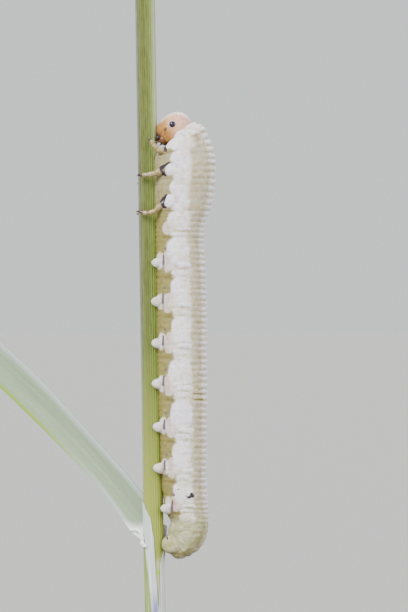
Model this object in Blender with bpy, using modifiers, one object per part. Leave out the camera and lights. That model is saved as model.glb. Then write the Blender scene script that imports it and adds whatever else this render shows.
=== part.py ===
"""A sawfly larva gripping a cut length of grass stem, life size, on a small display stand.

The larva hangs upright along the stem with its head up. Its belly faces -X, its back +X, and its left side -Y.
The origin is the middle of the stand's underside. Lengths in the constants are millimetres unless a name says
otherwise, and MM turns them into metres. SLIVER, in metres, is the smallest detail that a cut leaves.
"""

import math

import bmesh
import bpy
import numpy as np
from mathutils import Matrix, Vector

MM = 0.001
SLIVER = 2.0e-6

# Clearances between neighbouring pieces
GAP = 0.3
SMALL_GAP = 0.12

# Display stand
BASE_LENGTH = 27.0
BASE_WIDTH = 19.0
BASE_HEIGHT = 2.5
BASE_CORNER_RADIUS = 3.0
BASE_CORNER_STEPS = 6
BASE_EDGE_BEVEL = 0.4
ROD_RADIUS = 0.6
ROD_HEIGHT = 1.5

# Grass stem: a culm that leans slightly, held in a leaf sheath at its foot
STEM_TOP_Z = 44.0
STEM_LOW_Z = 7.0
STEM_RADIUS = 0.58
STEM_FOOT_X = -0.12
STEM_LEAN = -0.0163
STEM_SIDES = 20
SHEATH_RADIUS = 0.67
SHEATH_FOOT_X = -0.03
SHEATH_FOOT_Z = BASE_HEIGHT + ROD_HEIGHT + 2.0 * GAP
SHEATH_LEFT_Z = 11.6
SHEATH_RIGHT_Z = 8.4
SHEATH_CUT_SIZE = 12.0

# Leaf blade: leaves the sheath on the side away from the larva, rising and drawing back from the viewer
LEAF_ROOT = (-0.45, 0.10, 10.20)
LEAF_END = (-10.1, 3.4, 20.75)
LEAF_SAG = 0.10
LEAF_ROOT_WIDTH = 2.25
LEAF_END_WIDTH = 1.9
LEAF_THICKNESS = 0.5
LEAF_KEEL = 0.3
LEAF_TWIST = -0.25
LEAF_OUTLINE_STEPS = 4
LEAF_STATIONS = 9

# Body: one row for each station along the larva, counted in body segments from the neck.
# Each row holds the station, the belly point (x, z), the back point (x, z) and the half width.
BODY_STATIONS = (
    (0.0, 0.68, 33.87, 2.25, 35.43, 0.95),
    (0.5, 0.22, 33.60, 3.10, 35.05, 1.30),
    (1.0, -0.06, 33.28, 3.50, 34.00, 1.48),
    (2.0, -0.12, 31.82, 3.66, 31.92, 1.62),
    (3.0, -0.08, 29.86, 3.33, 29.88, 1.56),
    (3.5, -0.06, 29.02, 3.03, 29.03, 1.50),
    (4.0, -0.04, 28.18, 2.95, 28.18, 1.48),
    (5.0, 0.00, 25.68, 3.03, 25.68, 1.50),
    (6.0, 0.02, 23.24, 3.06, 23.24, 1.50),
    (7.0, 0.06, 20.68, 3.06, 20.68, 1.50),
    (8.0, 0.12, 18.05, 3.08, 18.05, 1.48),
    (9.0, 0.22, 15.46, 3.06, 15.46, 1.44),
    (10.0, 0.34, 12.96, 3.08, 12.96, 1.38),
    (11.0, 0.66, 10.98, 3.26, 10.98, 1.28),
    (12.0, 0.72, 9.92, 3.24, 9.70, 1.14),
    (12.25, 0.78, 9.76, 3.05, 9.02, 1.08),
    (12.5, 0.84, 9.62, 2.64, 8.44, 1.00),
    (12.75, 0.92, 9.48, 2.05, 8.10, 0.86),
    (13.0, 1.00, 9.36, 1.44, 8.04, 0.64),
)
TAIL_TIP = (0.79, 8.68)
TAIL_END_SHARES = (0.45, 0.8)

# Body segments from the neck down: name and number of skin folds (annulets) in each
SEGMENTS = (
    ("prothorax", 5),
    ("mesothorax", 5),
    ("metathorax", 5),
    ("abdomen_1", 5),
    ("abdomen_2", 7),
    ("abdomen_3", 7),
    ("abdomen_4", 7),
    ("abdomen_5", 7),
    ("abdomen_6", 7),
    ("abdomen_7", 7),
    ("abdomen_8", 5),
    ("abdomen_9", 3),
    ("abdomen_10", 4),
)
FIRST_ABDOMEN_SEGMENT = 3
BODY_SIDES = 20
BODY_SQUARENESS = 2.3
FOLD_HEIGHT = 0.055
BELLY_FOLD_SHARE = 0.25
LAST_SEGMENT_FADE = 0.8
CREASE_DEPTH = 0.05
CREASE_SPREAD = 0.06
# Swellings low on the side of each segment: angle from the belly and its spread in degrees,
# share of the segment and its spread, height
ABDOMEN_LOBES = (
    (50.0, 11.0, 0.62, 0.22, 0.10),
    (66.0, 11.0, 0.32, 0.20, 0.15),
    (88.0, 14.0, 0.42, 0.16, 0.08),
    (94.0, 18.0, 0.70, 0.05, 0.08),
    (84.0, 14.0, 0.95, 0.07, 0.07),
)
THORAX_LOBES = (
    (56.0, 12.0, 0.70, 0.20, 0.14),
    (84.0, 20.0, 0.45, 0.26, 0.08),
)
BELLY_GROOVE_DEPTH = 0.46
BELLY_GROOVE_WIDTH = 0.62

# Head capsule: an egg whose long axis runs down and forward to the mouth
HEAD_CENTRE = (1.20, 0.0, 34.98)
HEAD_HALF_LENGTH = 1.13
HEAD_HALF_DEPTH = 0.95
HEAD_HALF_WIDTH = 0.98
HEAD_TILT = math.radians(35.0)
HEAD_SIDES = 24
HEAD_RINGS = 14
MOUTH_NARROWING = 0.16

# Eyes, antennae and mouthparts: along the head's axis towards the mouth, then forward, then out to the side
EYE_PLACE = (-0.12, 0.30)
EYE_RADIUS = 0.20
EYE_BULGE = 0.10
EYE_DEPTH = 0.22
ANTENNA_PLACE = (0.36, 0.46)
ANTENNA_RADIUS = 0.14
ANTENNA_LENGTH = 0.26
ANTENNA_DEPTH = 0.16
MANDIBLE_PLACE = (0.98, 0.46)
MANDIBLE_SIZE = (0.30, 0.20, 0.16)
MANDIBLE_SIDE = 0.24

# A round peg's profile, in shares of its length: end of the straight side, shoulder, top ring
PEG_SIDES = 12
PEG_SIDE_END = 0.25
PEG_SHOULDER = 0.75
PEG_TOP = 0.95
SOCKET_REACH = 3.0
EYE_TIP_SHARE = 0.55
ANTENNA_TIP_SHARE = 0.45

# Fleshy mouthparts: place along the head's axes and size along them
UPPER_LIP = ((0.74, 0.62, 0.0), (0.24, 0.18, 0.36))
LOWER_LIP = ((1.02, 0.02, 0.0), (0.24, 0.20, 0.26))
CHEEK = ((0.90, 0.10, 0.40), (0.26, 0.26, 0.20))
NECK_CUT_SIZE = 6.0
NECK_CUT_DEPTH = 4.0

# Jointed legs: name, body segment, then for each joint x, distance from the middle, z and radius
LEGS = (
    (
        "leg_front",
        0,
        (
            (0.95, 0.80, 33.60, 0.30),
            (0.50, 1.02, 33.60, 0.30),
            (0.06, 1.10, 33.66, 0.27),
            (-0.16, 1.08, 34.02, 0.25),
            (-0.43, 0.96, 34.37, 0.06),
        ),
    ),
    (
        "leg_middle",
        1,
        (
            (1.05, 0.85, 32.42, 0.33),
            (0.56, 1.12, 32.33, 0.32),
            (0.10, 1.20, 32.22, 0.27),
            (-0.50, 1.18, 32.09, 0.25),
            (-0.92, 1.04, 32.04, 0.22),
            (-1.20, 0.82, 32.04, 0.06),
        ),
    ),
    (
        "leg_hind",
        2,
        (
            (0.98, 0.85, 30.46, 0.33),
            (0.50, 1.12, 30.27, 0.32),
            (0.12, 1.20, 30.00, 0.27),
            (-0.35, 1.18, 29.74, 0.25),
            (-0.86, 1.02, 29.68, 0.22),
            (-1.26, 0.78, 29.76, 0.06),
        ),
    ),
)
LEG_SIDES = 10
RIGHT_LEG_LIFT = {"leg_front": 0.06, "leg_middle": -0.45, "leg_hind": -0.12}

# Prolegs: the abdominal segment that carries each pair, and the x and z of its tip
PROLEGS = (
    (2, -0.22, 26.70),
    (3, -0.23, 24.30),
    (4, -0.22, 21.68),
    (5, -0.16, 19.12),
    (6, -0.11, 16.40),
    (7, -0.08, 13.86),
    (8, 0.33, 11.45),
)
PROLEG_LENGTH = 1.00
PROLEG_SPREAD = 1.17
PROLEG_ROOT_SPREAD = 1.00
PROLEG_SIDES = 12
# Along each proleg: share of its length, half height and half thickness
PROLEG_PROFILE = (
    (0.00, 0.52, 0.36),
    (0.25, 0.50, 0.36),
    (0.48, 0.38, 0.31),
    (0.64, 0.28, 0.27),
    (0.84, 0.28, 0.27),
    (1.00, 0.18, 0.18),
)
# Each anal proleg: x, distance from the middle, z, half height and half thickness
ANAL_PROLEG = (
    (1.02, 0.50, 9.00, 0.50, 0.34),
    (0.76, 0.82, 8.97, 0.48, 0.30),
    (0.54, 1.00, 8.95, 0.42, 0.27),
    (0.42, 1.08, 8.94, 0.28, 0.18),
)
# How far a limb's rounded end stands past its last section, as a share of that section's size
LIMB_END_ROUNDING = 0.4

COLOURS = {
    "head": (0.70, 0.42, 0.20, 1.0),
    "eye": (0.02, 0.02, 0.06, 1.0),
    "antenna": (0.45, 0.28, 0.14, 1.0),
    "mandible": (0.06, 0.03, 0.015, 1.0),
    "skin": (0.62, 0.61, 0.54, 1.0),
    "leg": (0.58, 0.46, 0.32, 1.0),
    "proleg": (0.66, 0.65, 0.58, 1.0),
    "stem": (0.34, 0.38, 0.13, 1.0),
    "sheath": (0.50, 0.54, 0.40, 1.0),
    "leaf": (0.44, 0.53, 0.41, 1.0),
    "base": (0.10, 0.07, 0.05, 1.0),
    "rod": (0.55, 0.55, 0.56, 1.0),
}
ROUGHNESS = {"eye": 0.08, "head": 0.35, "mandible": 0.3, "rod": 0.3, "base": 0.4}
DEFAULT_ROUGHNESS = 0.55


def clear_scene():
    """Remove every object that the file starts with."""
    for item in list(bpy.data.objects):
        bpy.data.objects.remove(item, do_unlink=True)


def make_collection(name):
    """Return a new collection under the scene."""
    collection = bpy.data.collections.new(name)
    bpy.context.scene.collection.children.link(collection)
    return collection


def make_material(name, kind):
    """Return a material of the given kind of surface."""
    material = bpy.data.materials.new(name)
    material.use_nodes = True
    shader = material.node_tree.nodes["Principled BSDF"]
    shader.inputs["Base Color"].default_value = COLOURS[kind]
    shader.inputs["Roughness"].default_value = ROUGHNESS.get(kind, DEFAULT_ROUGHNESS)
    shader.inputs["Metallic"].default_value = 1.0 if kind == "rod" else 0.0
    return material


def finish(item, kind, parent, collection):
    """Give a piece its material, its smooth shading and its place in the model."""
    item.data.materials.clear()
    item.data.materials.append(make_material(item.name + "_finish", kind))
    item.data.shade_smooth()
    item.data.set_sharp_from_angle(angle=math.radians(40.0))
    item.parent = parent
    collection.objects.link(item)


def mesh_object(name, bm):
    """Turn a bmesh in millimetres into an object in metres whose faces point out."""
    bmesh.ops.recalc_face_normals(bm, faces=bm.faces)
    bmesh.ops.scale(bm, vec=(MM, MM, MM), verts=bm.verts)
    mesh = bpy.data.meshes.new(name)
    bm.to_mesh(mesh)
    bm.free()
    return bpy.data.objects.new(name, mesh)


def loft(name, rings, pole_end=None):
    """Skin a row of rings of points; the far end closes on a pole where one is given."""
    bm = bmesh.new()
    loops = [[bm.verts.new(point) for point in ring] for ring in rings]
    count = len(loops[0])
    for first, second in zip(loops, loops[1:]):
        for k in range(count):
            after = (k + 1) % count
            bm.faces.new((first[k], first[after], second[after], second[k]))
    bm.faces.new(loops[0])
    if pole_end is None:
        bm.faces.new(loops[-1])
    else:
        pole = bm.verts.new(pole_end)
        for k in range(count):
            bm.faces.new((loops[-1][k], loops[-1][(k + 1) % count], pole))
    return mesh_object(name, bm)


def largest_body(mesh):
    """Keep the largest closed surface of a mesh and drop slivers left by a cut."""
    bm = bmesh.new()
    bm.from_mesh(mesh)
    bmesh.ops.remove_doubles(bm, verts=bm.verts, dist=SLIVER)
    bmesh.ops.dissolve_degenerate(bm, edges=bm.edges, dist=SLIVER)
    unseen = set(bm.faces)
    islands = []
    while unseen:
        stack = [unseen.pop()]
        island = list(stack)
        while stack:
            face = stack.pop()
            for edge in face.edges:
                for other in edge.link_faces:
                    if other in unseen:
                        unseen.remove(other)
                        stack.append(other)
                        island.append(other)
        islands.append(island)
    islands.sort(key=lambda faces: sum(face.calc_area() for face in faces))
    spare = [face for island in islands[:-1] for face in island]
    bmesh.ops.delete(bm, geom=spare, context="FACES")
    bmesh.ops.recalc_face_normals(bm, faces=bm.faces)
    bm.to_mesh(mesh)
    bm.free()


def combine(item, others, operation):
    """Join other closed pieces to an item, or cut them from it, and remove them."""
    group = bpy.data.collections.new(item.name + "_tools")
    bpy.context.scene.collection.children.link(group)
    for other in others:
        group.objects.link(other)
    bpy.context.scene.collection.objects.link(item)
    modifier = item.modifiers.new(operation.lower(), "BOOLEAN")
    modifier.operand_type = "COLLECTION"
    modifier.collection = group
    modifier.operation = operation
    modifier.solver = "EXACT"
    evaluated = item.evaluated_get(bpy.context.evaluated_depsgraph_get())
    mesh = bpy.data.meshes.new_from_object(evaluated)
    item.modifiers.clear()
    item.data = mesh
    largest_body(mesh)
    bpy.context.scene.collection.objects.unlink(item)
    for other in others:
        bpy.data.objects.remove(other, do_unlink=True)
    bpy.data.collections.remove(group)


def tube(name, points, sizes, sides, up):
    """Skin a bent, tapering limb; sizes holds the half height and half thickness at each point."""
    path = [Vector(point) for point in points]
    rings = []
    for k, centre in enumerate(path):
        before = path[max(k - 1, 0)]
        after = path[min(k + 1, len(path) - 1)]
        along = (after - before).normalized()
        across = along.cross(up).normalized()
        over = across.cross(along).normalized()
        high, thick = sizes[k]
        ring = []
        for step in range(sides):
            angle = 2.0 * math.pi * step / sides
            ring.append(centre + over * (high * math.cos(angle)) + across * (thick * math.sin(angle)))
        rings.append(ring)
    last = (path[-1] - path[-2]).normalized()
    return loft(name, rings, path[-1] + last * min(sizes[-1]) * LIMB_END_ROUNDING)


def inflated(points, sizes, margin):
    """Return a limb's path and sizes grown by a margin, its root end pushed back by the same amount."""
    path = [Vector(point) for point in points]
    back = (path[0] - path[1]).normalized() * margin
    path[0] = path[0] + back
    ahead = (path[-1] - path[-2]).normalized() * margin
    path[-1] = path[-1] + ahead
    return path, [(high + margin, thick + margin) for high, thick in sizes]


def station_values(s):
    """Belly point, back point and half width at a place along the body, by a smooth curve."""
    table = np.array(BODY_STATIONS)
    places = table[:, 0]
    values = table[:, 1:]
    slopes = np.gradient(values, places, axis=0)
    k = int(np.clip(np.searchsorted(places, s, side="right") - 1, 0, len(places) - 2))
    span = places[k + 1] - places[k]
    t = (s - places[k]) / span
    h00 = 2 * t**3 - 3 * t**2 + 1
    h10 = t**3 - 2 * t**2 + t
    h01 = -2 * t**3 + 3 * t**2
    h11 = t**3 - t**2
    row = h00 * values[k] + h10 * span * slopes[k] + h01 * values[k + 1] + h11 * span * slopes[k + 1]
    belly = Vector((row[0], 0.0, row[1]))
    back = Vector((row[2], 0.0, row[3]))
    return belly, back, float(row[4])


def along_body(s):
    """The direction from head to tail, square to the body's section at a place."""
    belly, back, _ = station_values(s)
    depth = (back - belly).normalized()
    return Vector((depth.z, 0.0, -depth.x))


def bell(value, middle, spread):
    """A smooth bump of height one."""
    return math.exp(-(((value - middle) / spread) ** 2))


def skin_offset(segment, part, angle):
    """How far the skin stands out at a share of a segment and an angle from the belly, 0 to pi."""
    folds = SEGMENTS[segment][1]
    share = BELLY_FOLD_SHARE + (1.0 - BELLY_FOLD_SHARE) * (1.0 - math.cos(angle)) / 2.0
    if segment == len(SEGMENTS) - 1:
        share *= 1.0 - LAST_SEGMENT_FADE * part
    out = -math.cos(2.0 * math.pi * folds * part) * FOLD_HEIGHT * share
    lobes = ABDOMEN_LOBES if segment >= FIRST_ABDOMEN_SEGMENT else THORAX_LOBES
    for middle, spread, place, length, height in lobes:
        out += height * bell(angle, math.radians(middle), math.radians(spread)) * bell(part, place, length)
    return out - CREASE_DEPTH * bell(min(part, 1.0 - part), 0.0, CREASE_SPREAD)


def body_ring(segment, part, shift):
    """One ring of skin; shift moves it along the body to leave the gap between segments."""
    s = segment + part
    belly, back, half_width = station_values(s)
    centre = (belly + back) * 0.5 + along_body(s) * shift
    half_depth = (back - belly).length * 0.5
    depth = (back - belly).normalized()
    power = 2.0 / BODY_SQUARENESS
    ring = []
    for k in range(BODY_SIDES):
        angle = 2.0 * math.pi * (k + 0.5) / BODY_SIDES
        folded = math.pi - abs(angle - math.pi)
        out = skin_offset(segment, part, folded)
        up = math.copysign(abs(math.cos(angle)) ** power, math.cos(angle))
        side = math.copysign(abs(math.sin(angle)) ** power, math.sin(angle))
        v = (half_width + out) * side
        u = -(half_depth + out) * up
        if up > 0.0:
            u += BELLY_GROOVE_DEPTH * bell(v, 0.0, BELLY_GROOVE_WIDTH) * min(1.0, half_depth)
        ring.append(centre + depth * u + Vector((0.0, v, 0.0)))
    return ring


def make_segment(segment):
    """One segment of the body, its folds and swellings in its own surface."""
    name, folds = SEGMENTS[segment]
    steps = 2 * folds
    rings = []
    for k in range(steps + 1):
        part = k / steps
        shift = 0.5 * GAP * ((1.0 - part) ** 2 - part**2)
        rings.append(body_ring(segment, part, shift))
    if segment < len(SEGMENTS) - 1:
        return loft(name, rings)
    tip = Vector((TAIL_TIP[0], 0.0, TAIL_TIP[1]))
    last = rings[-1]
    middle = sum(last, Vector()) / len(last)
    for share in TAIL_END_SHARES:
        shrink = math.sqrt(1.0 - share**2)
        rings.append([middle + (point - middle) * shrink + (tip - middle) * share for point in last])
    return loft(name, rings, tip)


def head_frame():
    """The head's own axes: towards the mouth, forward over the face, and out to the larva's left."""
    mouthward = Vector((-math.sin(HEAD_TILT), 0.0, -math.cos(HEAD_TILT)))
    forward = Vector((-math.cos(HEAD_TILT), 0.0, math.sin(HEAD_TILT)))
    return mouthward, forward, Vector((0.0, -1.0, 0.0))


def head_point(mouthward_part, forward_part, side_part):
    """A point placed by lengths along the head's own axes."""
    mouthward, forward, side = head_frame()
    return Vector(HEAD_CENTRE) + mouthward * mouthward_part + forward * forward_part + side * side_part


def head_half_width(mouthward_part, forward_part):
    """How far the capsule reaches to the side at a place seen from that side."""
    share = (mouthward_part / HEAD_HALF_LENGTH) ** 2 + (forward_part / HEAD_HALF_DEPTH) ** 2
    narrow = 1.0 - MOUTH_NARROWING * mouthward_part / HEAD_HALF_LENGTH
    return HEAD_HALF_WIDTH * narrow * math.sqrt(max(0.0, 1.0 - share))


def lump(name, centre, sizes, segments=12, rings=8):
    """An egg-shaped lump along the head's axes."""
    bm = bmesh.new()
    bmesh.ops.create_uvsphere(bm, u_segments=segments, v_segments=rings, radius=1.0)
    mouthward, forward, side = head_frame()
    for vert in bm.verts:
        along, front, out = vert.co.z * sizes[0], vert.co.x * sizes[1], vert.co.y * sizes[2]
        vert.co = centre + mouthward * along + forward * front + side * out
    return mesh_object(name, bm)


def slab(name, middle, normal, size, depth):
    """A square block whose near face passes through the middle point, for a flat cut."""
    bm = bmesh.new()
    bmesh.ops.create_cube(bm, size=1.0)
    turn = normal.to_track_quat("Z", "Y").to_matrix().to_4x4()
    bmesh.ops.scale(bm, vec=(size, size, depth), verts=bm.verts)
    bmesh.ops.translate(bm, vec=(0.0, 0.0, depth / 2.0), verts=bm.verts)
    bmesh.ops.transform(bm, matrix=Matrix.Translation(middle) @ turn, verts=bm.verts)
    return mesh_object(name, bm)


def peg(name, centre, out, radius, length, depth, tip_share):
    """A short round piece: its root lies the given depth behind a point, its tip the length before it."""
    rings = []
    helper = out.orthogonal().normalized()
    other = out.cross(helper)
    shoulder_share = 0.5 * (1.0 + tip_share)
    profile = (
        (-depth, 1.0),
        (PEG_SIDE_END * length, 1.0),
        (PEG_SHOULDER * length, shoulder_share),
        (PEG_TOP * length, tip_share),
    )
    for place, share in profile:
        middle = centre + out * place
        ring = []
        for k in range(PEG_SIDES):
            angle = 2.0 * math.pi * k / PEG_SIDES
            ring.append(middle + (helper * math.cos(angle) + other * math.sin(angle)) * radius * share)
        rings.append(ring)
    return loft(name, rings, centre + out * length)


def side_normal(mouthward_part, forward_part, sign):
    """The capsule's outward direction at a place on its side."""
    mouthward, forward, side = head_frame()
    width = head_half_width(mouthward_part, forward_part)
    normal = (
        mouthward * (mouthward_part / HEAD_HALF_LENGTH**2)
        + forward * (forward_part / HEAD_HALF_DEPTH**2)
        + side * (sign * width / HEAD_HALF_WIDTH**2)
    )
    return normal.normalized()


def eye_at(sign, grow, name):
    """An eye, or its socket where grow is the clearance."""
    along, front = EYE_PLACE
    centre = head_point(along, front, sign * head_half_width(along, front))
    out = side_normal(along, front, sign)
    length = EYE_BULGE + SOCKET_REACH * grow
    return peg(name, centre, out, EYE_RADIUS + grow, length, EYE_DEPTH + grow, EYE_TIP_SHARE)


def antenna_at(sign, grow, name):
    """An antenna, a stub that tapers to its tip, or its socket."""
    along, front = ANTENNA_PLACE
    centre = head_point(along, front, sign * head_half_width(along, front))
    out = side_normal(along, front, sign)
    length = ANTENNA_LENGTH + SOCKET_REACH * grow
    return peg(name, centre, out, ANTENNA_RADIUS + grow, length, ANTENNA_DEPTH + grow, ANTENNA_TIP_SHARE)


def mandible_at(sign, grow, name):
    """A jaw, or the space it needs in the mouth."""
    along, front = MANDIBLE_PLACE
    centre = head_point(along, front, sign * MANDIBLE_SIDE)
    sizes = tuple(size + grow for size in MANDIBLE_SIZE)
    return lump(name, centre, sizes)


def make_head():
    """The capsule with its upper lip, lower lip and cheeks, cut flat where it meets the neck."""
    bm = bmesh.new()
    bmesh.ops.create_uvsphere(bm, u_segments=HEAD_SIDES, v_segments=HEAD_RINGS, radius=1.0)
    mouthward, forward, side = head_frame()
    for vert in bm.verts:
        narrow = 1.0 - MOUTH_NARROWING * vert.co.z
        along = vert.co.z * HEAD_HALF_LENGTH
        front = vert.co.x * HEAD_HALF_DEPTH
        out = vert.co.y * HEAD_HALF_WIDTH * narrow
        vert.co = Vector(HEAD_CENTRE) + mouthward * along + forward * front + side * out
    head = mesh_object("head", bm)
    mouthparts = [lump("upper_lip", head_point(*UPPER_LIP[0]), UPPER_LIP[1])]
    mouthparts.append(lump("lower_lip", head_point(*LOWER_LIP[0]), LOWER_LIP[1]))
    for sign in (-1.0, 1.0):
        along, front, out = CHEEK[0]
        mouthparts.append(lump("cheek", head_point(along, front, sign * out), CHEEK[1]))
    combine(head, mouthparts, "UNION")
    belly, back, _ = station_values(0.0)
    tailward = along_body(0.0)
    neck = (belly + back) * 0.5 - tailward * (0.5 * GAP)
    cutters = [slab("neck_cut", neck, tailward, NECK_CUT_SIZE, NECK_CUT_DEPTH)]
    for sign in (-1.0, 1.0):
        cutters.append(eye_at(sign, SMALL_GAP, "eye_socket"))
        cutters.append(antenna_at(sign, SMALL_GAP, "antenna_socket"))
        cutters.append(mandible_at(sign, SMALL_GAP, "jaw_space"))
    combine(head, cutters, "DIFFERENCE")
    return head


def leg_path(joints, sign, lift):
    """The centre line and sizes of a jointed leg on one side."""
    points = [(x, sign * out, z + lift * min(1.0, k / 2.0)) for k, (x, out, z, _) in enumerate(joints)]
    sizes = [(radius, radius) for _, _, _, radius in joints]
    return points, sizes


def proleg_path(tip_x, tip_z, sign):
    """The centre line and sizes of a proleg, from its broad root to its rounded foot."""
    points = []
    sizes = []
    for share, high, thick in PROLEG_PROFILE:
        x = tip_x + (1.0 - share) * PROLEG_LENGTH
        out = PROLEG_ROOT_SPREAD + (PROLEG_SPREAD - PROLEG_ROOT_SPREAD) * share
        points.append((x, sign * out, tip_z))
        sizes.append((high, thick))
    return points, sizes


def limbs():
    """Every leg and proleg: name, path, sizes, sides and the body segment that carries it."""
    rows = []
    for side, sign in (("left", -1.0), ("right", 1.0)):
        for name, segment, joints in LEGS:
            lift = RIGHT_LEG_LIFT[name] if side == "right" else 0.0
            points, sizes = leg_path(joints, sign, lift)
            rows.append((f"{name}_{side}", points, sizes, LEG_SIDES, segment, "leg"))
        for number, tip_x, tip_z in PROLEGS:
            points, sizes = proleg_path(tip_x, tip_z, sign)
            rows.append((f"proleg_{number}_{side}", points, sizes, PROLEG_SIDES, number + 2, "proleg"))
        points = [(x, sign * out, z) for x, out, z, _, _ in ANAL_PROLEG]
        sizes = [(high, thick) for _, _, _, high, thick in ANAL_PROLEG]
        rows.append((f"proleg_anal_{side}", points, sizes, LEG_SIDES, 12, "proleg"))
    return rows


def stem_x(z):
    """The middle of the leaning stem at a height."""
    return STEM_FOOT_X + STEM_LEAN * (z - SHEATH_FOOT_Z)


def stem_cylinder(name, low, high, radius, low_x=None):
    """A round length of the leaning stem; its lower end may stand off the stem's own line."""
    rings = []
    for z in (low, high):
        middle_x = stem_x(z) if low_x is None or z == high else low_x
        ring = []
        for k in range(STEM_SIDES):
            angle = 2.0 * math.pi * k / STEM_SIDES
            ring.append(Vector((middle_x + radius * math.cos(angle), radius * math.sin(angle), z)))
        rings.append(ring)
    return loft(name, rings)


def sheath_cut(name, upper, offset):
    """A slab that trims the culm or the sheath along the slanting mouth of the sheath."""
    left = Vector((stem_x(SHEATH_LEFT_Z) - SHEATH_RADIUS, 0.0, SHEATH_LEFT_Z))
    right = Vector((stem_x(SHEATH_RIGHT_Z) + SHEATH_RADIUS, 0.0, SHEATH_RIGHT_Z))
    slope = (right - left).normalized()
    normal = Vector((-slope.z, 0.0, slope.x)) * (1.0 if upper else -1.0)
    middle = (left + right) * 0.5 + normal * offset
    return slab(name, middle, normal, SHEATH_CUT_SIZE, SHEATH_CUT_SIZE)


def make_stem():
    """The culm, cut slanting where it enters the sheath."""
    stem = stem_cylinder("perch_stem", STEM_LOW_Z, STEM_TOP_Z, STEM_RADIUS)
    combine(stem, [sheath_cut("mouth", False, -0.5 * GAP)], "DIFFERENCE")
    return stem


def make_sheath():
    """The leaf sheath round the foot of the culm, bent a little from the culm's line."""
    sheath = stem_cylinder("perch_sheath", SHEATH_FOOT_Z, SHEATH_LEFT_Z, SHEATH_RADIUS, SHEATH_FOOT_X)
    combine(sheath, [sheath_cut("mouth", True, -0.5 * GAP)], "DIFFERENCE")
    return sheath


def make_leaf():
    """The leaf blade: a keeled strip that sags a little along its length."""
    root = Vector(LEAF_ROOT)
    end = Vector(LEAF_END)
    along = (end - root).normalized()
    across = along.cross(Vector((0.0, 1.0, 0.0))).normalized()
    across = (across + Vector((0.0, LEAF_TWIST, 0.0))).normalized()
    normal = across.cross(along).normalized()
    rings = []
    for k in range(LEAF_STATIONS):
        share = k / (LEAF_STATIONS - 1)
        middle = root.lerp(end, share)
        middle.z += LEAF_SAG * 4.0 * share * (1.0 - share)
        half = 0.5 * (LEAF_ROOT_WIDTH + (LEAF_END_WIDTH - LEAF_ROOT_WIDTH) * share)
        places = [2.0 * step / LEAF_OUTLINE_STEPS - 1.0 for step in range(LEAF_OUTLINE_STEPS + 1)]
        upper = [(place, 0.5 * LEAF_THICKNESS) for place in places]
        lower = [(place, -0.5 * LEAF_THICKNESS) for place in reversed(places)]
        ring = []
        for place, rise in upper + lower:
            keel = LEAF_KEEL * (abs(place) - 0.5)
            ring.append(middle + across * (half * place) + normal * (rise + keel))
        rings.append(ring)
    leaf = loft("perch_leaf", rings)
    clear = stem_cylinder("clear", SHEATH_FOOT_Z, STEM_TOP_Z, SHEATH_RADIUS + GAP)
    combine(leaf, [clear], "DIFFERENCE")
    return leaf


def make_base(collection, parent):
    """The stand's flat base, a rounded block whose edges are eased by a bevel."""
    bm = bmesh.new()
    bmesh.ops.create_cube(bm, size=1.0)
    bmesh.ops.scale(bm, vec=(BASE_LENGTH, BASE_WIDTH, BASE_HEIGHT), verts=bm.verts)
    bmesh.ops.translate(bm, vec=(0.0, 0.0, BASE_HEIGHT / 2.0), verts=bm.verts)
    upright = [e for e in bm.edges if abs(e.verts[0].co.z - e.verts[1].co.z) > 0.5 * BASE_HEIGHT]
    bmesh.ops.bevel(
        bm, geom=upright, offset=BASE_CORNER_RADIUS, segments=BASE_CORNER_STEPS, profile=0.5, affect="EDGES"
    )
    base = mesh_object("stand_base", bm)
    finish(base, "base", parent, collection)
    bevel = base.modifiers.new("eased_edges", "BEVEL")
    bevel.width = BASE_EDGE_BEVEL * MM
    bevel.segments = 2
    bevel.limit_method = "ANGLE"
    bevel.angle_limit = math.radians(60.0)
    return base


def make_rod():
    """The short rod from the base up to the cut end of the perch."""
    bm = bmesh.new()
    bmesh.ops.create_cone(
        bm, cap_ends=True, segments=STEM_SIDES, radius1=ROD_RADIUS, radius2=ROD_RADIUS, depth=ROD_HEIGHT
    )
    middle = Vector((SHEATH_FOOT_X, 0.0, BASE_HEIGHT + GAP + ROD_HEIGHT / 2.0))
    bmesh.ops.translate(bm, vec=middle, verts=bm.verts)
    return mesh_object("stand_rod", bm)


def overlaps(points, sizes, item):
    """Whether a limb's box comes near a piece's box."""
    margin = max(max(size) for size in sizes) + 2.0 * GAP
    low = Vector([min(p[axis] for p in points) - margin for axis in range(3)])
    high = Vector([max(p[axis] for p in points) + margin for axis in range(3)])
    corners = [vert.co / MM for vert in item.data.vertices]
    for axis in range(3):
        if min(c[axis] for c in corners) > high[axis] or max(c[axis] for c in corners) < low[axis]:
            return False
    return True


def build():
    """Make every piece and group it under one empty."""
    clear_scene()
    collection = make_collection("sawfly_larva")
    root = bpy.data.objects.new("larva_root", None)
    collection.objects.link(root)
    up = Vector((0.0, 0.0, 1.0))
    rows = limbs()
    for segment in range(len(SEGMENTS)):
        item = make_segment(segment)
        cutters = []
        for name, points, sizes, sides, host, _ in rows:
            if abs(host - segment) <= 1 and overlaps(points, sizes, item):
                path, grown = inflated(points, sizes, GAP)
                cutters.append(tube(name + "_socket", path, grown, sides, up))
        if cutters:
            combine(item, cutters, "DIFFERENCE")
        finish(item, "skin", root, collection)
    for name, points, sizes, sides, _, kind in rows:
        finish(tube(name, points, sizes, sides, up), kind, root, collection)
    finish(make_head(), "head", root, collection)
    for side, sign in (("left", 1.0), ("right", -1.0)):
        finish(eye_at(sign, 0.0, "eye_" + side), "eye", root, collection)
        finish(antenna_at(sign, 0.0, "antenna_" + side), "antenna", root, collection)
        finish(mandible_at(sign, 0.0, "mandible_" + side), "mandible", root, collection)
    finish(make_stem(), "stem", root, collection)
    finish(make_sheath(), "sheath", root, collection)
    finish(make_leaf(), "leaf", root, collection)
    finish(make_rod(), "rod", root, collection)
    make_base(collection, root)


build()
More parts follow.
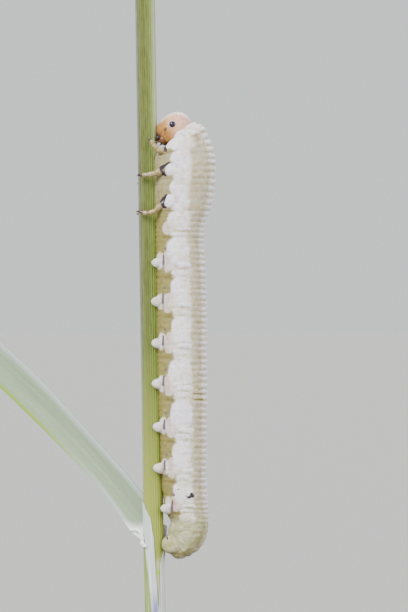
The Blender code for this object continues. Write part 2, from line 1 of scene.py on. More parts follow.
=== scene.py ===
"""The sawfly larva on its cut grass stem, dressed for display, laid out as an add-on with one operator a piece.

The larva hangs upright with its head up. Its belly faces -X, its back +X, and its left side -Y. Shapes are worked
out in millimetres and turned into metres by MM. Object coordinates in materials are metres, so a pattern's scale is
one over its real size in metres.
"""

import math

import bmesh
import bpy
import numpy as np
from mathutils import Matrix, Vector, noise


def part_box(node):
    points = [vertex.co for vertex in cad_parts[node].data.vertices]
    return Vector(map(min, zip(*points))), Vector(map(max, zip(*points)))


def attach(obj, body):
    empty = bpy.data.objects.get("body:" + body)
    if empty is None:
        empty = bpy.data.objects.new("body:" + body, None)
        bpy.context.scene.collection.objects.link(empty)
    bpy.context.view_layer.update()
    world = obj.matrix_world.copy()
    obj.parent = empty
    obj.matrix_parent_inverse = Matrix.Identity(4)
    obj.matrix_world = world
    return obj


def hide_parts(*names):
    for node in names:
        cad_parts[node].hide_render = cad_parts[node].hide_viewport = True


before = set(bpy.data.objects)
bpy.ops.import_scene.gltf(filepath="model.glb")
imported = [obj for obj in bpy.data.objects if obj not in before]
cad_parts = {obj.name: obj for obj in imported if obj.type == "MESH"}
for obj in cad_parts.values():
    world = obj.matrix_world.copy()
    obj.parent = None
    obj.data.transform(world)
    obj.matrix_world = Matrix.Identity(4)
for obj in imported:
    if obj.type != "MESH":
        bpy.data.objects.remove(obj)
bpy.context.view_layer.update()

bl_info = {
    "name": "Sawfly larva on a grass stem",
    "version": (1, 0, 0),
    "blender": (4, 5, 0),
    "location": "3D View > Sidebar > Larva",
    "description": "Builds the larva, its grass perch, its stand and the stage round the packed model",
    "category": "Object",
}

MM = 0.001
BODY = "root"
UP = (0.0, 0.0, 1.0)

# Body: station, belly point (x, z), back point (x, z) and half width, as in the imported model
BODY_STATIONS = (
    (0.0, 0.68, 33.87, 2.25, 35.43, 0.98),
    (0.5, 0.22, 33.60, 3.02, 35.00, 1.30),
    (0.75, 0.08, 33.44, 3.20, 34.52, 1.40),
    (1.0, -0.06, 33.28, 3.46, 33.98, 1.48),
    (2.0, -0.12, 31.82, 3.66, 31.92, 1.62),
    (3.0, -0.08, 29.86, 3.35, 29.88, 1.56),
    (3.5, -0.06, 29.02, 3.03, 29.03, 1.50),
    (4.0, -0.04, 28.18, 2.95, 28.18, 1.48),
    (5.0, 0.00, 25.68, 3.07, 25.68, 1.50),
    (6.0, 0.02, 23.24, 3.12, 23.24, 1.50),
    (7.0, 0.06, 20.68, 3.11, 20.68, 1.50),
    (8.0, 0.12, 18.05, 3.14, 18.05, 1.48),
    (9.0, 0.22, 15.46, 3.12, 15.46, 1.44),
    (10.0, 0.34, 12.96, 3.09, 12.96, 1.38),
    (11.0, 0.68, 10.98, 3.22, 10.98, 1.28),
    (11.5, 0.92, 10.45, 3.25, 10.36, 1.22),
    (12.0, 0.76, 9.92, 3.18, 9.74, 1.14),
    (12.25, 0.78, 9.76, 2.98, 9.16, 1.08),
    (12.5, 0.84, 9.62, 2.56, 8.66, 1.00),
    (12.75, 0.92, 9.48, 2.02, 8.30, 0.86),
    (13.0, 1.00, 9.36, 1.44, 8.13, 0.64),
)
TAIL_TIP = (0.79, 8.68)
TAIL_RINGS = 14
SEGMENT_NODES = ("prothorax", "mesothorax", "metathorax") + tuple(f"abdomen_{n}" for n in range(1, 11))
FOLDS = (5, 5, 5, 5, 7, 7, 7, 7, 7, 7, 6, 4, 5)
SEGMENT_ROWS = (38, 34, 34, 32, 44, 44, 46, 48, 46, 44, 36, 24, 30)
SKIN_COLUMNS = 160
BODY_SQUARENESS = 2.3
FIRST_ABDOMEN_SEGMENT = 3
FIRST_PROLEG_SEGMENT = 4
LAST_PROLEG_SEGMENT = 10

# Pads of skin on the side of a segment. Each row holds: across (-1 belly, 1 back) and its half width, share of the
# segment and its half length, slant, height, then how chalky and how pinkish the pad is
PROLEG_PADS = ((-0.80, 0.14, 0.60, 0.20, 0.00, 0.015, 0.45, 0.35),)
ABDOMEN_PADS = (
    (-0.50, 0.20, 0.63, 0.25, -0.05, 0.012, 0.12, 0.95),
    (-0.04, 0.43, 0.32, 0.34, 0.00, 0.045, 1.00, 0.00),
    (-0.26, 0.20, 0.64, 0.17, -0.25, 0.015, 0.30, 0.60),
    (0.08, 0.32, 0.55, 0.070, 0.02, 0.025, 0.80, 0.15),
    (0.15, 0.34, 0.705, 0.062, 0.02, 0.055, 1.00, 0.00),
    (-0.02, 0.32, 0.86, 0.065, 0.05, 0.030, 0.75, 0.25),
)
EDGE_PAD = (0.04, 0.29, 0.09, 0.03, 0.80)
THORAX_PADS = (
    (-0.47, 0.17, 0.68, 0.20, -0.15, 0.09, 1.00, 0.00),
    (-0.14, 0.32, 0.26, 0.27, 0.00, 0.02, 1.00, 0.00),
    (-0.08, 0.30, 0.75, 0.26, 0.00, 0.02, 1.00, 0.00),
)
COLLAR_PADS = (
    (-0.58, 0.22, 0.36, 0.36, -0.20, 0.05, 1.00, 0.00),
    (-0.03, 0.42, 0.46, 0.50, 0.05, 0.04, 1.00, 0.00),
    (0.72, 0.38, 0.33, 0.27, 0.10, 0.06, 0.90, 0.00),
    (-0.92, 0.20, 0.55, 0.35, 0.00, 0.03, 0.60, 0.00),
)
# Where the back's fine cross folds begin, on the collar, the rest of the thorax and the abdomen
BACK_STARTS = (0.42, 0.20, 0.40)

# Dark marks on the skin, drawn as short strokes: x and z of both ends, and the half width at each end.
# The strokes beside the leg roots are on both sides of the body; the others are on the left side only.
LEG_ROOT_STROKES = (
    (0.56, 33.90, 0.60, 33.62, 0.06, 0.12),
    (0.85, 32.86, 0.52, 32.64, 0.06, 0.10),
    (0.50, 32.62, 0.36, 32.52, 0.12, 0.15),
    (0.32, 32.50, 0.34, 32.34, 0.12, 0.09),
    (0.42, 32.28, 0.46, 32.16, 0.08, 0.12),
    (0.50, 32.16, 0.60, 32.06, 0.11, 0.09),
    (0.67, 30.86, 0.52, 30.62, 0.06, 0.11),
    (0.50, 30.62, 0.40, 30.40, 0.13, 0.16),
    (0.40, 30.38, 0.46, 30.16, 0.15, 0.11),
    (0.48, 30.10, 0.62, 30.06, 0.09, 0.08),
)
LEFT_STROKES = (
    (2.22, 12.22, 2.29, 12.10, 0.10, 0.13),
    (2.24, 12.10, 2.04, 12.00, 0.10, 0.08),
    (2.04, 12.02, 1.84, 12.14, 0.05, 0.025),
    (1.36, 12.54, 1.42, 12.52, 0.045, 0.045),
    (0.70, 9.52, 0.73, 9.40, 0.055, 0.06),
)
BACK_STREAKS = (
    (2.32, 18.46, 2.90, 18.46, 0.05, 0.07),
    (2.40, 18.10, 2.90, 18.09, 0.05, 0.07),
    (2.66, 18.74, 2.74, 18.72, 0.06, 0.06),
)

# Folds in the collar behind the head, pressed into the skin and darkened with painted shade: x and z of both ends, and
# the half width at each end
COLLAR_FOLDS = (
    (2.06, 35.02, 2.50, 34.95, 0.07, 0.10),
    (2.50, 34.95, 2.98, 34.78, 0.10, 0.07),
    (2.58, 34.62, 2.74, 34.26, 0.08, 0.10),
    (1.62, 34.66, 1.90, 34.36, 0.06, 0.08),
)

# Prolegs of the abdomen's segments 2 to 8: the x and z of their tips
PROLEGS = (
    (-0.26, 26.64),
    (-0.29, 24.22),
    (-0.27, 21.62),
    (-0.25, 19.10),
    (-0.19, 16.40),
    (-0.17, 13.84),
    (0.29, 11.32),
)
# A proleg from its root to its tip: distance from the tip, how far out, half height and half thickness
PROLEG_PROFILE = (
    (1.00, 0.56, 0.22, 0.12),
    (0.80, 0.72, 0.28, 0.16),
    (0.64, 0.82, 0.33, 0.19),
    (0.52, 0.87, 0.35, 0.23),
    (0.42, 0.89, 0.34, 0.25),
    (0.33, 0.88, 0.32, 0.25),
    (0.24, 0.87, 0.285, 0.235),
    (0.15, 0.86, 0.245, 0.20),
    (0.08, 0.86, 0.19, 0.16),
    (0.03, 0.86, 0.13, 0.11),
    (0.00, 0.86, 0.07, 0.06),
)
# How fast the shallow rings follow each other along a proleg
PROLEG_RINGS = 19.0
# The last pair of prolegs are swellings of the tail: their centre (x, how far out, z), half sizes, and the rounding
# of their root
ANAL_PROLEG = ((0.96, 0.52, 9.06), (0.66, 0.48, 0.62), 0.20)

# Head capsule: its centre, half sizes and tilt
HEAD_CENTRE = (1.20, 0.0, 34.98)
HEAD_HALF_LENGTH = 1.13
HEAD_HALF_DEPTH = 0.97
HEAD_HALF_WIDTH = 1.0
HEAD_TILT = math.radians(35.0)
HEAD_COLUMNS = 144
HEAD_ROWS = 108
MOUTH_NARROWING = 0.16
FACE_FULLNESS = 0.19
# Eye and antenna seen from the side: how far towards the mouth and over the face
EYE_PLACE = (-0.12, 0.30)
EYE_RISE = 0.13
EYE_ROOT = -0.12
ANTENNA_PLACE = (0.36, 0.46)
# Brown freckles low on both sides of the face: x and z of both ends, and the half width at each end
FACE_STROKES = (
    (0.36, 34.82, 0.30, 34.62, 0.05, 0.07),
    (0.50, 34.68, 0.46, 34.48, 0.05, 0.07),
    (0.24, 34.62, 0.30, 34.44, 0.06, 0.09),
    (0.83, 34.30, 0.80, 34.20, 0.07, 0.08),
    (0.62, 34.50, 0.66, 34.42, 0.04, 0.05),
)

# A feeler's outline: distances along it and radii, the radii as shares of its size on the palps
ANTENNA_PROFILE = (
    (-0.05, 0.115),
    (0.03, 0.110),
    (0.05, 0.080),
    (0.11, 0.078),
    (0.13, 0.058),
    (0.18, 0.054),
    (0.20, 0.036),
    (0.26, 0.022),
)
PALP_PROFILE = (
    (-0.15, 1.25),
    (0.02, 1.25),
    (0.05, 1.0),
    (0.11, 1.0),
    (0.13, 0.75),
    (0.18, 0.72),
    (0.20, 0.5),
    (0.26, 0.25),
)
# The jaw's lumps and the mouth's soft lobes: place (towards the mouth, over the face, out) and half sizes
JAW_LUMPS = (
    ((1.06, 0.56, 0.38), (0.24, 0.15, 0.18)),
    ((1.16, 0.60, 0.22), (0.14, 0.10, 0.16)),
    ((1.14, 0.52, 0.08), (0.10, 0.08, 0.10)),
)
MAXILLA = ((0.96, 0.20, 0.36), (0.30, 0.32, 0.24))
LIPS = (((0.86, 0.62, 0.0), (0.20, 0.15, 0.34)), ((0.98, 0.02, 0.0), (0.26, 0.26, 0.30)))
# Palps: place of the root, direction along the head's axes, and size
PALPS = (
    ((1.16, 0.34, 0.40), (0.7, 0.6, 0.4), 0.060),
    ((1.20, 0.14, 0.16), (0.9, 0.4, 0.0), 0.045),
)

# Jointed legs on the left side: x, distance from the middle, z and radius at each joint
LEGS = {
    "leg_front": (
        (0.95, 0.74, 33.58, 0.34),
        (0.60, 0.98, 33.56, 0.27),
        (0.22, 1.08, 33.60, 0.19),
        (0.00, 1.08, 33.80, 0.15),
        (-0.22, 1.02, 34.12, 0.115),
        (-0.34, 0.98, 34.28, 0.09),
    ),
    "leg_middle": (
        (1.05, 0.80, 32.42, 0.36),
        (0.62, 1.06, 32.34, 0.30),
        (0.24, 1.18, 32.28, 0.24),
        (-0.12, 1.20, 32.16, 0.175),
        (-0.50, 1.14, 32.10, 0.145),
        (-0.90, 1.02, 32.06, 0.115),
    ),
    "leg_hind": (
        (0.98, 0.80, 30.46, 0.36),
        (0.56, 1.06, 30.34, 0.29),
        (0.24, 1.16, 30.12, 0.20),
        (-0.04, 1.20, 29.86, 0.16),
        (-0.42, 1.16, 29.72, 0.135),
        (-0.86, 1.02, 29.74, 0.115),
    ),
}
# Where along a leg its joints and the bulges between them lie, and the half sizes along a claw
LEG_JOINTS = (0.36, 0.58, 0.80)
LEG_BULGES = (0.47, 0.69, 0.90)
CLAW_SIZES = ((0.095, 0.095), (0.10, 0.10), (0.085, 0.08), (0.02, 0.02))
CLAW_ENDS = {
    "leg_front": (-0.47, 0.92, 34.41),
    "leg_middle": (-1.19, 0.84, 32.02),
    "leg_hind": (-1.24, 0.80, 29.80),
}
RIGHT_LEG_LIFT = {"leg_front": -0.10, "leg_middle": -0.45, "leg_hind": -0.12}

# Grass stem and sheath: the larva's gap to the stem, the stem's sides, rings and broad waves, the radii of its arc
# and of the sheath, the wall of the thin membranes, then where stem and sheath stand
STEM_GAP = 0.01
CULM_SIDES = 156
CULM_RINGS = 240
BROAD_WAVES = 5.0
ARC_RADIUS = 0.61
SHEATH_RADIUS = 0.648
MEMBRANE = 0.03
STEM_TOP_Z = 43.98
STEM_FOOT_Z = 4.8
STEM_FOOT_X = -0.066
STEM_LEAN = -0.0163
SHEATH_FOOT_Z = 4.6
SHEATH_FOOT_X = -0.03
# The sheath's mouth: angle from the viewer towards the larva, in degrees, and height of the edge there
SHEATH_MOUTH = (
    (-345.0, 4.75),
    (-342.0, 5.1),
    (-334.0, 6.0),
    (-321.0, 7.8),
    (-300.0, 8.55),
    (-270.0, 8.8),
    (-246.0, 10.15),
    (-225.0, 10.3),
    (-180.0, 10.8),
    (-120.0, 11.6),
    (-90.0, 11.75),
    (-60.0, 11.55),
    (-17.0, 10.7),
    (0.0, 9.38),
    (3.0, 7.8),
    (12.0, 5.95),
    (14.0, 4.8),
)
# Where the sheath turns from green to a papery edge: height and angle
SHEATH_GREEN_EDGE = ((4.6, -20.0), (6.0, -26.0), (8.05, -46.0), (8.9, -56.0), (9.6, -90.0), (10.2, -120.0))

# Leaf blade: x, y and z of its upper and lower edge at stations from the sheath outwards
LEAF_EDGES = (
    ((-0.50, 0.28, 11.95), (-0.62, 0.10, 9.05)),
    ((-0.80, 0.30, 12.14), (-1.63, 0.35, 9.89)),
    ((-1.78, 0.50, 13.32), (-2.43, 0.70, 11.08)),
    ((-3.40, 1.10, 15.08), (-4.05, 1.32, 13.10)),
    ((-5.01, 1.65, 16.82), (-6.12, 2.05, 15.17)),
    ((-6.63, 2.25, 18.57), (-7.80, 2.65, 16.80)),
    ((-8.26, 2.80, 20.16), (-9.40, 3.15, 18.32)),
    ((-10.10, 3.40, 21.82), (-10.85, 3.50, 19.72)),
)
# Height of the stem's knot, and the blade's length along which its veins are drawn
NODE_Z = 7.3
BLADE_LENGTH = 13.0
# The torn white collar between blade and sheath: x, y and z of its root and of its rim
LIGULE_EDGES = (
    ((-1.62, 0.16, 9.90), (-1.73, 0.24, 9.84)),
    ((-1.44, 0.08, 10.02), (-1.50, 0.16, 9.80)),
    ((-1.22, -0.02, 10.06), (-1.28, 0.06, 9.80)),
    ((-1.02, -0.12, 9.95), (-1.08, -0.06, 9.72)),
    ((-0.88, -0.24, 9.72), (-0.94, -0.20, 9.50)),
    ((-0.78, -0.34, 9.46), (-0.86, -0.32, 9.32)),
    ((-0.76, -0.42, 9.22), (-0.98, -0.42, 9.12)),
    ((-0.66, -0.50, 9.04), (-0.80, -0.52, 8.92)),
    ((-0.58, -0.56, 8.92), (-0.60, -0.58, 8.86)),
)

# The photo's frame and the camera: the frame's height, the x and z of its middle, and the camera's distance
FRAME_HEIGHT = 38.25
FRAME_MIDDLE = (3.0, 23.925)
CAMERA_DISTANCE = 300.0
SENSOR = 36.0
FLOOR_RADII = (60.0, 400.0, 4000.0)
FLOOR_SIDES = 96
# Lamps: name, place in metres, spread in degrees and the setting that holds the power; all shine towards LAMP_AIM
LAMPS = (
    ("key_light", (-0.34, -0.44, 0.44), 30.0, "key_power"),
    ("fill_light", (0.45, -0.30, 0.20), 60.0, "fill_power"),
    ("back_light", (0.12, 0.30, 0.50), 40.0, "back_power"),
)
LAMP_AIM = (0.001, 0.0, 0.023)
# Sides of the stand's steel rod
ROD_SIDES = 72
# The height of the materials' fine relief at full strength
RELIEF = 0.02


def linear(code):
    """Turn an sRGB hex colour into linear red, green, blue and alpha; any other value stays as it is."""
    if not (isinstance(code, str) and code.startswith("#")):
        return code
    values = []
    for place in (1, 3, 5):
        value = int(code[place : place + 2], 16) / 255.0
        values.append(value / 12.92 if value <= 0.04045 else ((value + 0.055) / 1.055) ** 2.4)
    return (*values, 1.0)


def colour(name, code, text):
    """A colour setting whose default is an sRGB hex colour."""
    return bpy.props.FloatVectorProperty(
        name=name, description=text, subtype="COLOR", size=4, min=0.0, max=1.0, default=linear(code)
    )


def length(name, millimetres, text):
    """A length setting, kept in metres and given here in millimetres."""
    return bpy.props.FloatProperty(
        name=name, description=text, unit="LENGTH", precision=6, min=0.0, default=millimetres * MM
    )


class LarvaSkinSettings(bpy.types.PropertyGroup):
    """Sizes and colours of the body's skin."""

    fold_height: length("Fold height", 0.062, "How far the skin folds stand up from the furrows between them")
    crease_depth: length("Crease depth", 0.035, "Depth of the crease between two segments")
    bead_height: length("Bead height", 0.022, "Height of the wax beads along the folds of the back")
    side: colour("Side", "#E3E0DC", "Skin of the side between the pads")
    back: colour("Back", "#C2BAA4", "Greyish beige skin of the back")
    # Painted shade: this colour is multiplied into the skin in every furrow, crease and collar fold.
    hollow: colour("Furrow tint", "#D6CCAC", "Tint that the skin takes on in every furrow")
    chalk: colour("Chalky pad", "#F2F0FA", "Chalk-white waxy pads on the side")
    # Besides the belly's and the tail's own yellowish skin, this ochre paints the shade in the creases between
    # segments and in the gaps between the side's pads.
    ochre: colour("Ochre skin", "#8A8340", "Thin yellowish skin of the belly and the creases")
    blush: colour("Pinkish skin", "#D2BFB6", "Pinkish beige skin over the leg roots")
    mark: colour("Dark mark", "#2E2329", "Violet-brown marks and sclerites")
    # Painted shade: the dash paints the crease along each proleg's root; the small spot above it is a mark on the
    # skin.
    dash: colour("Grey dash", "#63525D", "Violet-grey dash above each proleg")
    streak: colour("Olive streak", "#77702F", "Olive-brown streaks across two folds of the back")


class LarvaHeadSettings(bpy.types.PropertyGroup):
    """Sizes and colours of the head, the jointed legs and the fine bristles."""

    eye_radius: length("Eye radius", 0.20, "Radius of the single eye on each side")
    bristle_length: length("Bristle length", 0.12, "Length of the fine bristles on the head")
    crown: colour("Crown", "#D5A898", "Pale pink crown of the head")
    face: colour("Face", "#B07E3A", "Amber face")
    cheek: colour("Cheek", "#EDC298", "Tan cheek behind the eye")
    mouth: colour("Mouth", "#54301A", "Red-brown mouthparts")
    eye: colour("Eye", "#060612", "Blue-black eye")
    jaw: colour("Jaw", "#180A04", "Dark brown jaw and claws")
    leg: colour("Leg", "#957F4A", "Pinkish beige leg cuticle")


class GrassPerchSettings(bpy.types.PropertyGroup):
    """Sizes and colours of the cut grass stem, its sheath and its blade."""

    culm_radius: length("Culm radius", 0.61, "Radius of the grass stem")
    rib_depth: length("Rib depth", 0.014, "Depth of the furrows between the culm's lengthwise ribs")
    rib_count: bpy.props.IntProperty(name="Ribs", description="Number of ribs round the culm", default=26, min=8)
    blade_thickness: length("Blade thickness", 0.16, "Thickness of the leaf blade")
    culm_green: colour("Culm green", "#66752F", "Yellow-green of the living culm")
    culm_olive: colour("Culm olive", "#616A29", "Duller green between the ribs")
    papery: colour("Papery skin", "#C8CBC6", "Papery whitish edge of the sheath")
    blade_green: colour("Blade green", "#8A9D80", "Waxy pale blue-green of the blade")


class DisplayStageSettings(bpy.types.PropertyGroup):
    """Stand finish, floor and lights."""

    wood_dark: colour("Wood, dark grain", "#3A2417", "Late wood of the base")
    wood_light: colour("Wood, light grain", "#6B4629", "Early wood of the base")
    floor: colour("Floor", "#9A9A98", "Plain pale floor")
    key_power: bpy.props.FloatProperty(name="Key light", description="Power of the key light", default=5.2, min=0.0)
    fill_power: bpy.props.FloatProperty(name="Fill light", description="Power of the fill", default=2.2, min=0.0)
    back_power: bpy.props.FloatProperty(name="Back light", description="Power of the back light", default=1.6, min=0.0)
    sky_strength: bpy.props.FloatProperty(name="Sky", description="Strength of the pale sky", default=1.12, min=0.0)


def new_object(name, data):
    """Link a new object that holds a mesh, a lamp or a camera, at the origin."""
    item = bpy.data.objects.new(name, data)
    bpy.context.scene.collection.objects.link(item)
    return item


def place_piece(item, material, nodes=()):
    """Give a piece its material, smooth shading, its body and the nodes it stands for."""
    item.data.materials.clear()
    item.data.materials.append(material)
    item.data.shade_smooth()
    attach(item, BODY)
    if nodes:
        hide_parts(*nodes)


def face_out(mesh):
    """Turn a closed mesh's faces outwards."""
    bm = bmesh.new()
    bm.from_mesh(mesh)
    bmesh.ops.recalc_face_normals(bm, faces=bm.faces)
    bm.to_mesh(mesh)
    bm.free()


def grid_mesh(name, points, start_pole=None, end_pole=None, ring=True):
    """A mesh from rows of points, in millimetres; ring closes each row, and a pole closes an end."""
    rows, columns, _ = points.shape
    index = np.arange(rows * columns).reshape(rows, columns)
    after = np.roll(index, -1, axis=1) if ring else index[:, 1:]
    before = index if ring else index[:, :-1]
    quads = np.stack([before[:-1], after[:-1], after[1:], before[1:]], axis=-1).reshape(-1, 4)
    faces = quads.tolist()
    vertices = points.reshape(-1, 3).tolist()
    for pole, row in ((start_pole, 0), (end_pole, rows - 1)):
        if pole is not None:
            vertices.append(list(pole))
            tip = len(vertices) - 1
            for k in range(columns):
                faces.append([int(index[row, k]), int(index[row, (k + 1) % columns]), tip])
    mesh = bpy.data.meshes.new(name)
    mesh.from_pydata([[value * MM for value in vertex] for vertex in vertices], [], faces)
    mesh.update()
    face_out(mesh)
    return mesh


def set_values(mesh, values):
    """Store values by name for a material to read, one for each vertex; the last goes to all vertices that follow."""
    for name, grid in values.items():
        attribute = mesh.attributes.new(name, "FLOAT", "POINT")
        flat = np.asarray(grid, np.float32).ravel()
        whole = np.full(len(mesh.vertices), flat[-1], np.float32)
        whole[: len(flat)] = flat
        attribute.data.foreach_set("value", whole)


def join(name, parts):
    """Join several mesh objects into the first, under a new name."""
    bpy.ops.object.select_all(action="DESELECT")
    for part in parts:
        part.select_set(True)
    bpy.context.view_layer.objects.active = parts[0]
    if len(parts) > 1:
        bpy.ops.object.join()
    parts[0].name = name
    parts[0].data.name = name
    return parts[0]


def plain_mesh(item):
    """Apply an object's modifiers, so that a plain mesh is left."""
    evaluated = item.evaluated_get(bpy.context.evaluated_depsgraph_get())
    mesh = bpy.data.meshes.new_from_object(evaluated)
    item.modifiers.clear()
    item.data = mesh


def thicken(item, thickness, offset):
    """Give a thin sheet a wall of a thickness in metres, and leave a plain mesh."""
    wall = item.modifiers.new("wall", "SOLIDIFY")
    wall.thickness = thickness
    wall.offset = offset
    plain_mesh(item)


def unit(vectors):
    """Vectors brought to length one."""
    return vectors / np.linalg.norm(vectors, axis=-1, keepdims=True)


def turns(count):
    """The angles of places evenly spaced round a circle."""
    return 2.0 * math.pi * np.arange(count) / count


def smooth_step(low, high, value):
    """Rise smoothly from 0 at low to 1 at high."""
    share = np.clip((value - low) / (high - low), 0.0, 1.0)
    return share * share * (3.0 - 2.0 * share)


def bell(value, middle, spread):
    """A smooth bump of height one."""
    return np.exp(-(((value - middle) / spread) ** 2))


def rough(points, size, seed):
    """Smooth noise from -1 to 1 at each point, with features of the given size in millimetres."""
    shift = Vector((seed * 7.31, seed * 3.17, seed * 5.93))
    flat = points.reshape(-1, 3) / size
    values = [noise.noise(Vector(point) + shift) for point in flat]
    return np.array(values).reshape(points.shape[:-1])


def curve_through(places, values, wanted):
    """Values of a smooth curve through given points, each with the slope of its neighbours."""
    places = np.asarray(places, float)
    values = np.asarray(values, float)
    slopes = np.gradient(values, places, axis=0)
    k = np.clip(np.searchsorted(places, wanted, side="right") - 1, 0, len(places) - 2)
    span = (places[k + 1] - places[k])[:, None]
    t = (np.asarray(wanted) - places[k])[:, None] / span
    h00 = 2 * t**3 - 3 * t**2 + 1
    h10 = t**3 - 2 * t**2 + t
    h01 = -2 * t**3 + 3 * t**2
    h11 = t**3 - t**2
    return h00 * values[k] + h10 * span * slopes[k] + h01 * values[k + 1] + h11 * span * slopes[k + 1]


def strokes(points, rows):
    """A slope about strokes drawn in the plane seen from the side: 1 on their lines, a half at their edges."""
    cover = np.zeros(points.shape[:-1])
    x = points[..., 0]
    z = points[..., 2]
    for x0, z0, x1, z1, wide0, wide1 in rows:
        dx, dz = x1 - x0, z1 - z0
        share = np.clip(((x - x0) * dx + (z - z0) * dz) / (dx * dx + dz * dz), 0.0, 1.0)
        distance = np.hypot(x - x0 - share * dx, z - z0 - share * dz)
        wide = wide0 + (wide1 - wide0) * share
        cover = np.maximum(cover, np.clip(1.0 - 0.5 * distance / wide, 0.0, 1.0))
    return cover


def stem_x(z):
    """The middle of the leaning culm at a height."""
    return STEM_FOOT_X + STEM_LEAN * (z - STEM_FOOT_Z)


def rest_on_stem(points, radius):
    """Push points that lie inside the culm out to its surface, on the larva's side."""
    x = points[..., 0]
    y = points[..., 1]
    near = np.clip(radius**2 - y**2, 0.0, None)
    surface = stem_x(points[..., 2]) + np.sqrt(near)
    inside = (near > 0.0) & (x < surface) & (x > surface - 2.0 * radius)
    points[..., 0] = np.where(inside, surface, x)
    return points


def soften(grid, reach):
    """The grid's values, each averaged with those up to a few places away."""
    total = sum(np.roll(grid, step, axis=1) for step in range(-reach, reach + 1)) / (2 * reach + 1)
    padded = np.pad(total, ((reach, reach), (0, 0)), mode="edge")
    return sum(padded[step : step + len(grid)] for step in range(2 * reach + 1)) / (2 * reach + 1)


def pad_field(pads, across, part, which, keep):
    """Height, chalk and blush of the side's pads, each segment's a little different, and how far they cover."""
    height = np.zeros(across.shape)
    chalk = np.zeros(across.shape)
    blush = np.zeros(across.shape)
    cover = np.zeros(across.shape)
    for number, (middle, wide, along, long_half, slant, rise, white, pink) in enumerate(pads):
        shift = np.array([noise.noise(Vector((n * 3.7, number * 5.3, 1.7))) for n in range(len(FOLDS))])
        stretch = np.array([noise.noise(Vector((n * 2.9, number * 4.1, 8.3))) for n in range(len(FOLDS))])
        lengthways = (part - along - 0.03 * stretch[which]) / long_half
        sideways = across - middle - 0.06 * shift[which] - slant * lengthways * long_half
        far = np.abs(sideways / (wide * (1.0 + 0.2 * stretch[which]))) ** 2.5 + np.abs(lengthways) ** 2.5
        dome = np.clip(1.0 - far, 0.0, 1.0) ** 0.7 * keep
        over = smooth_step(1.25, 0.65, far) * keep
        height = np.maximum(height, rise * dome)
        chalk = np.maximum(chalk, white * over)
        blush = np.maximum(blush * (1.0 - white * over), pink * over)
        cover = np.maximum(cover, over)
    return height, chalk, blush, cover


def proleg_dashes(points):
    """Slopes about the violet-grey dashes and spots above the prolegs, dark ones and faint ones: the dashes and their
    faint tails down each root are painted crease shade, the spots are marks on the skin.
    """
    dark = []
    faint = []
    for x, z in PROLEGS:
        dark.append((x + 0.74, z + 0.44, x + 0.74, z - 0.10, 0.060, 0.072))
        dark.append((x + 0.84, z + 0.88, x + 0.85, z + 0.80, 0.065, 0.060))
        faint.append((x + 0.74, z - 0.10, x + 0.79, z - 0.56, 0.075, 0.055))
    return strokes(points, dark), strokes(points, faint)


def proleg_rows(sign):
    """The path and the sizes of each jointless leg of one side but the last."""
    rows = []
    for tip_x, tip_z in PROLEGS:
        path = [(tip_x + back, sign * out, tip_z - 0.05 * back) for back, out, _, _ in PROLEG_PROFILE]
        rows.append((path, [(high, thick) for _, _, high, thick in PROLEG_PROFILE]))
    return rows


def fillet(points, outward):
    """Raise the skin smoothly towards the prolegs where they grow out of it."""
    reach = 0.26
    for sign in (-1.0, 1.0):
        for path, sizes in proleg_rows(sign):
            places = np.arange(len(path), dtype=float)
            wanted = np.linspace(0.0, len(path) - 1.0, 32)
            centre = curve_through(places, np.array(path, float), wanted)
            size = curve_through(places, np.array(sizes, float), wanted)
            near = np.abs(points[..., 2] - path[0][2]) < 1.3
            gap = points[near][:, None, :] - centre[None, :, :]
            thick = size[None, :, 1]
            level = (gap[..., 0] ** 2 + gap[..., 1] ** 2) / thick**2
            scaled = np.sqrt(level + gap[..., 2] ** 2 / size[None, :, 0] ** 2)
            distance = ((scaled - 1.0) * thick).min(axis=1)
            lift = 0.28 * reach * np.clip(1.0 - np.abs(distance) / reach, 0.0, 1.0) ** 2
            lift = lift + 0.4 * np.clip(-distance, 0.0, 0.25)
            points[near] += outward[near] * lift[:, None]
    return points


def swell_tail(points, centre):
    """Push the skin out over the last pair of prolegs, which grow from the tail without a seam."""
    (x, out, z), sizes, rounding = ANAL_PROLEG
    own = np.linalg.norm(points - centre, axis=-1)
    ray = (points - centre) / own[..., None]
    low = smooth_step(z + 2.0 * sizes[2], z + 1.5 * sizes[2], points[..., 2])
    for sign in (-1.0, 1.0):
        offset = (centre - np.array([x, sign * out, z])) / np.array(sizes)
        step = ray / np.array(sizes)
        along = (step**2).sum(axis=-1)
        towards = (step * offset).sum(axis=-1)
        room = towards**2 - along * ((offset**2).sum(axis=-1) - 1.0)
        root = np.sign(room) * (np.sqrt(np.abs(room) + 0.03) - 0.17)
        far = (-towards + root) / along
        share = np.clip(0.5 + 0.5 * (far - own) / rounding, 0.0, 1.0) * low
        own = own + (far - own) * share + rounding * share * (1.0 - share)
    return centre + ray * own[..., None]


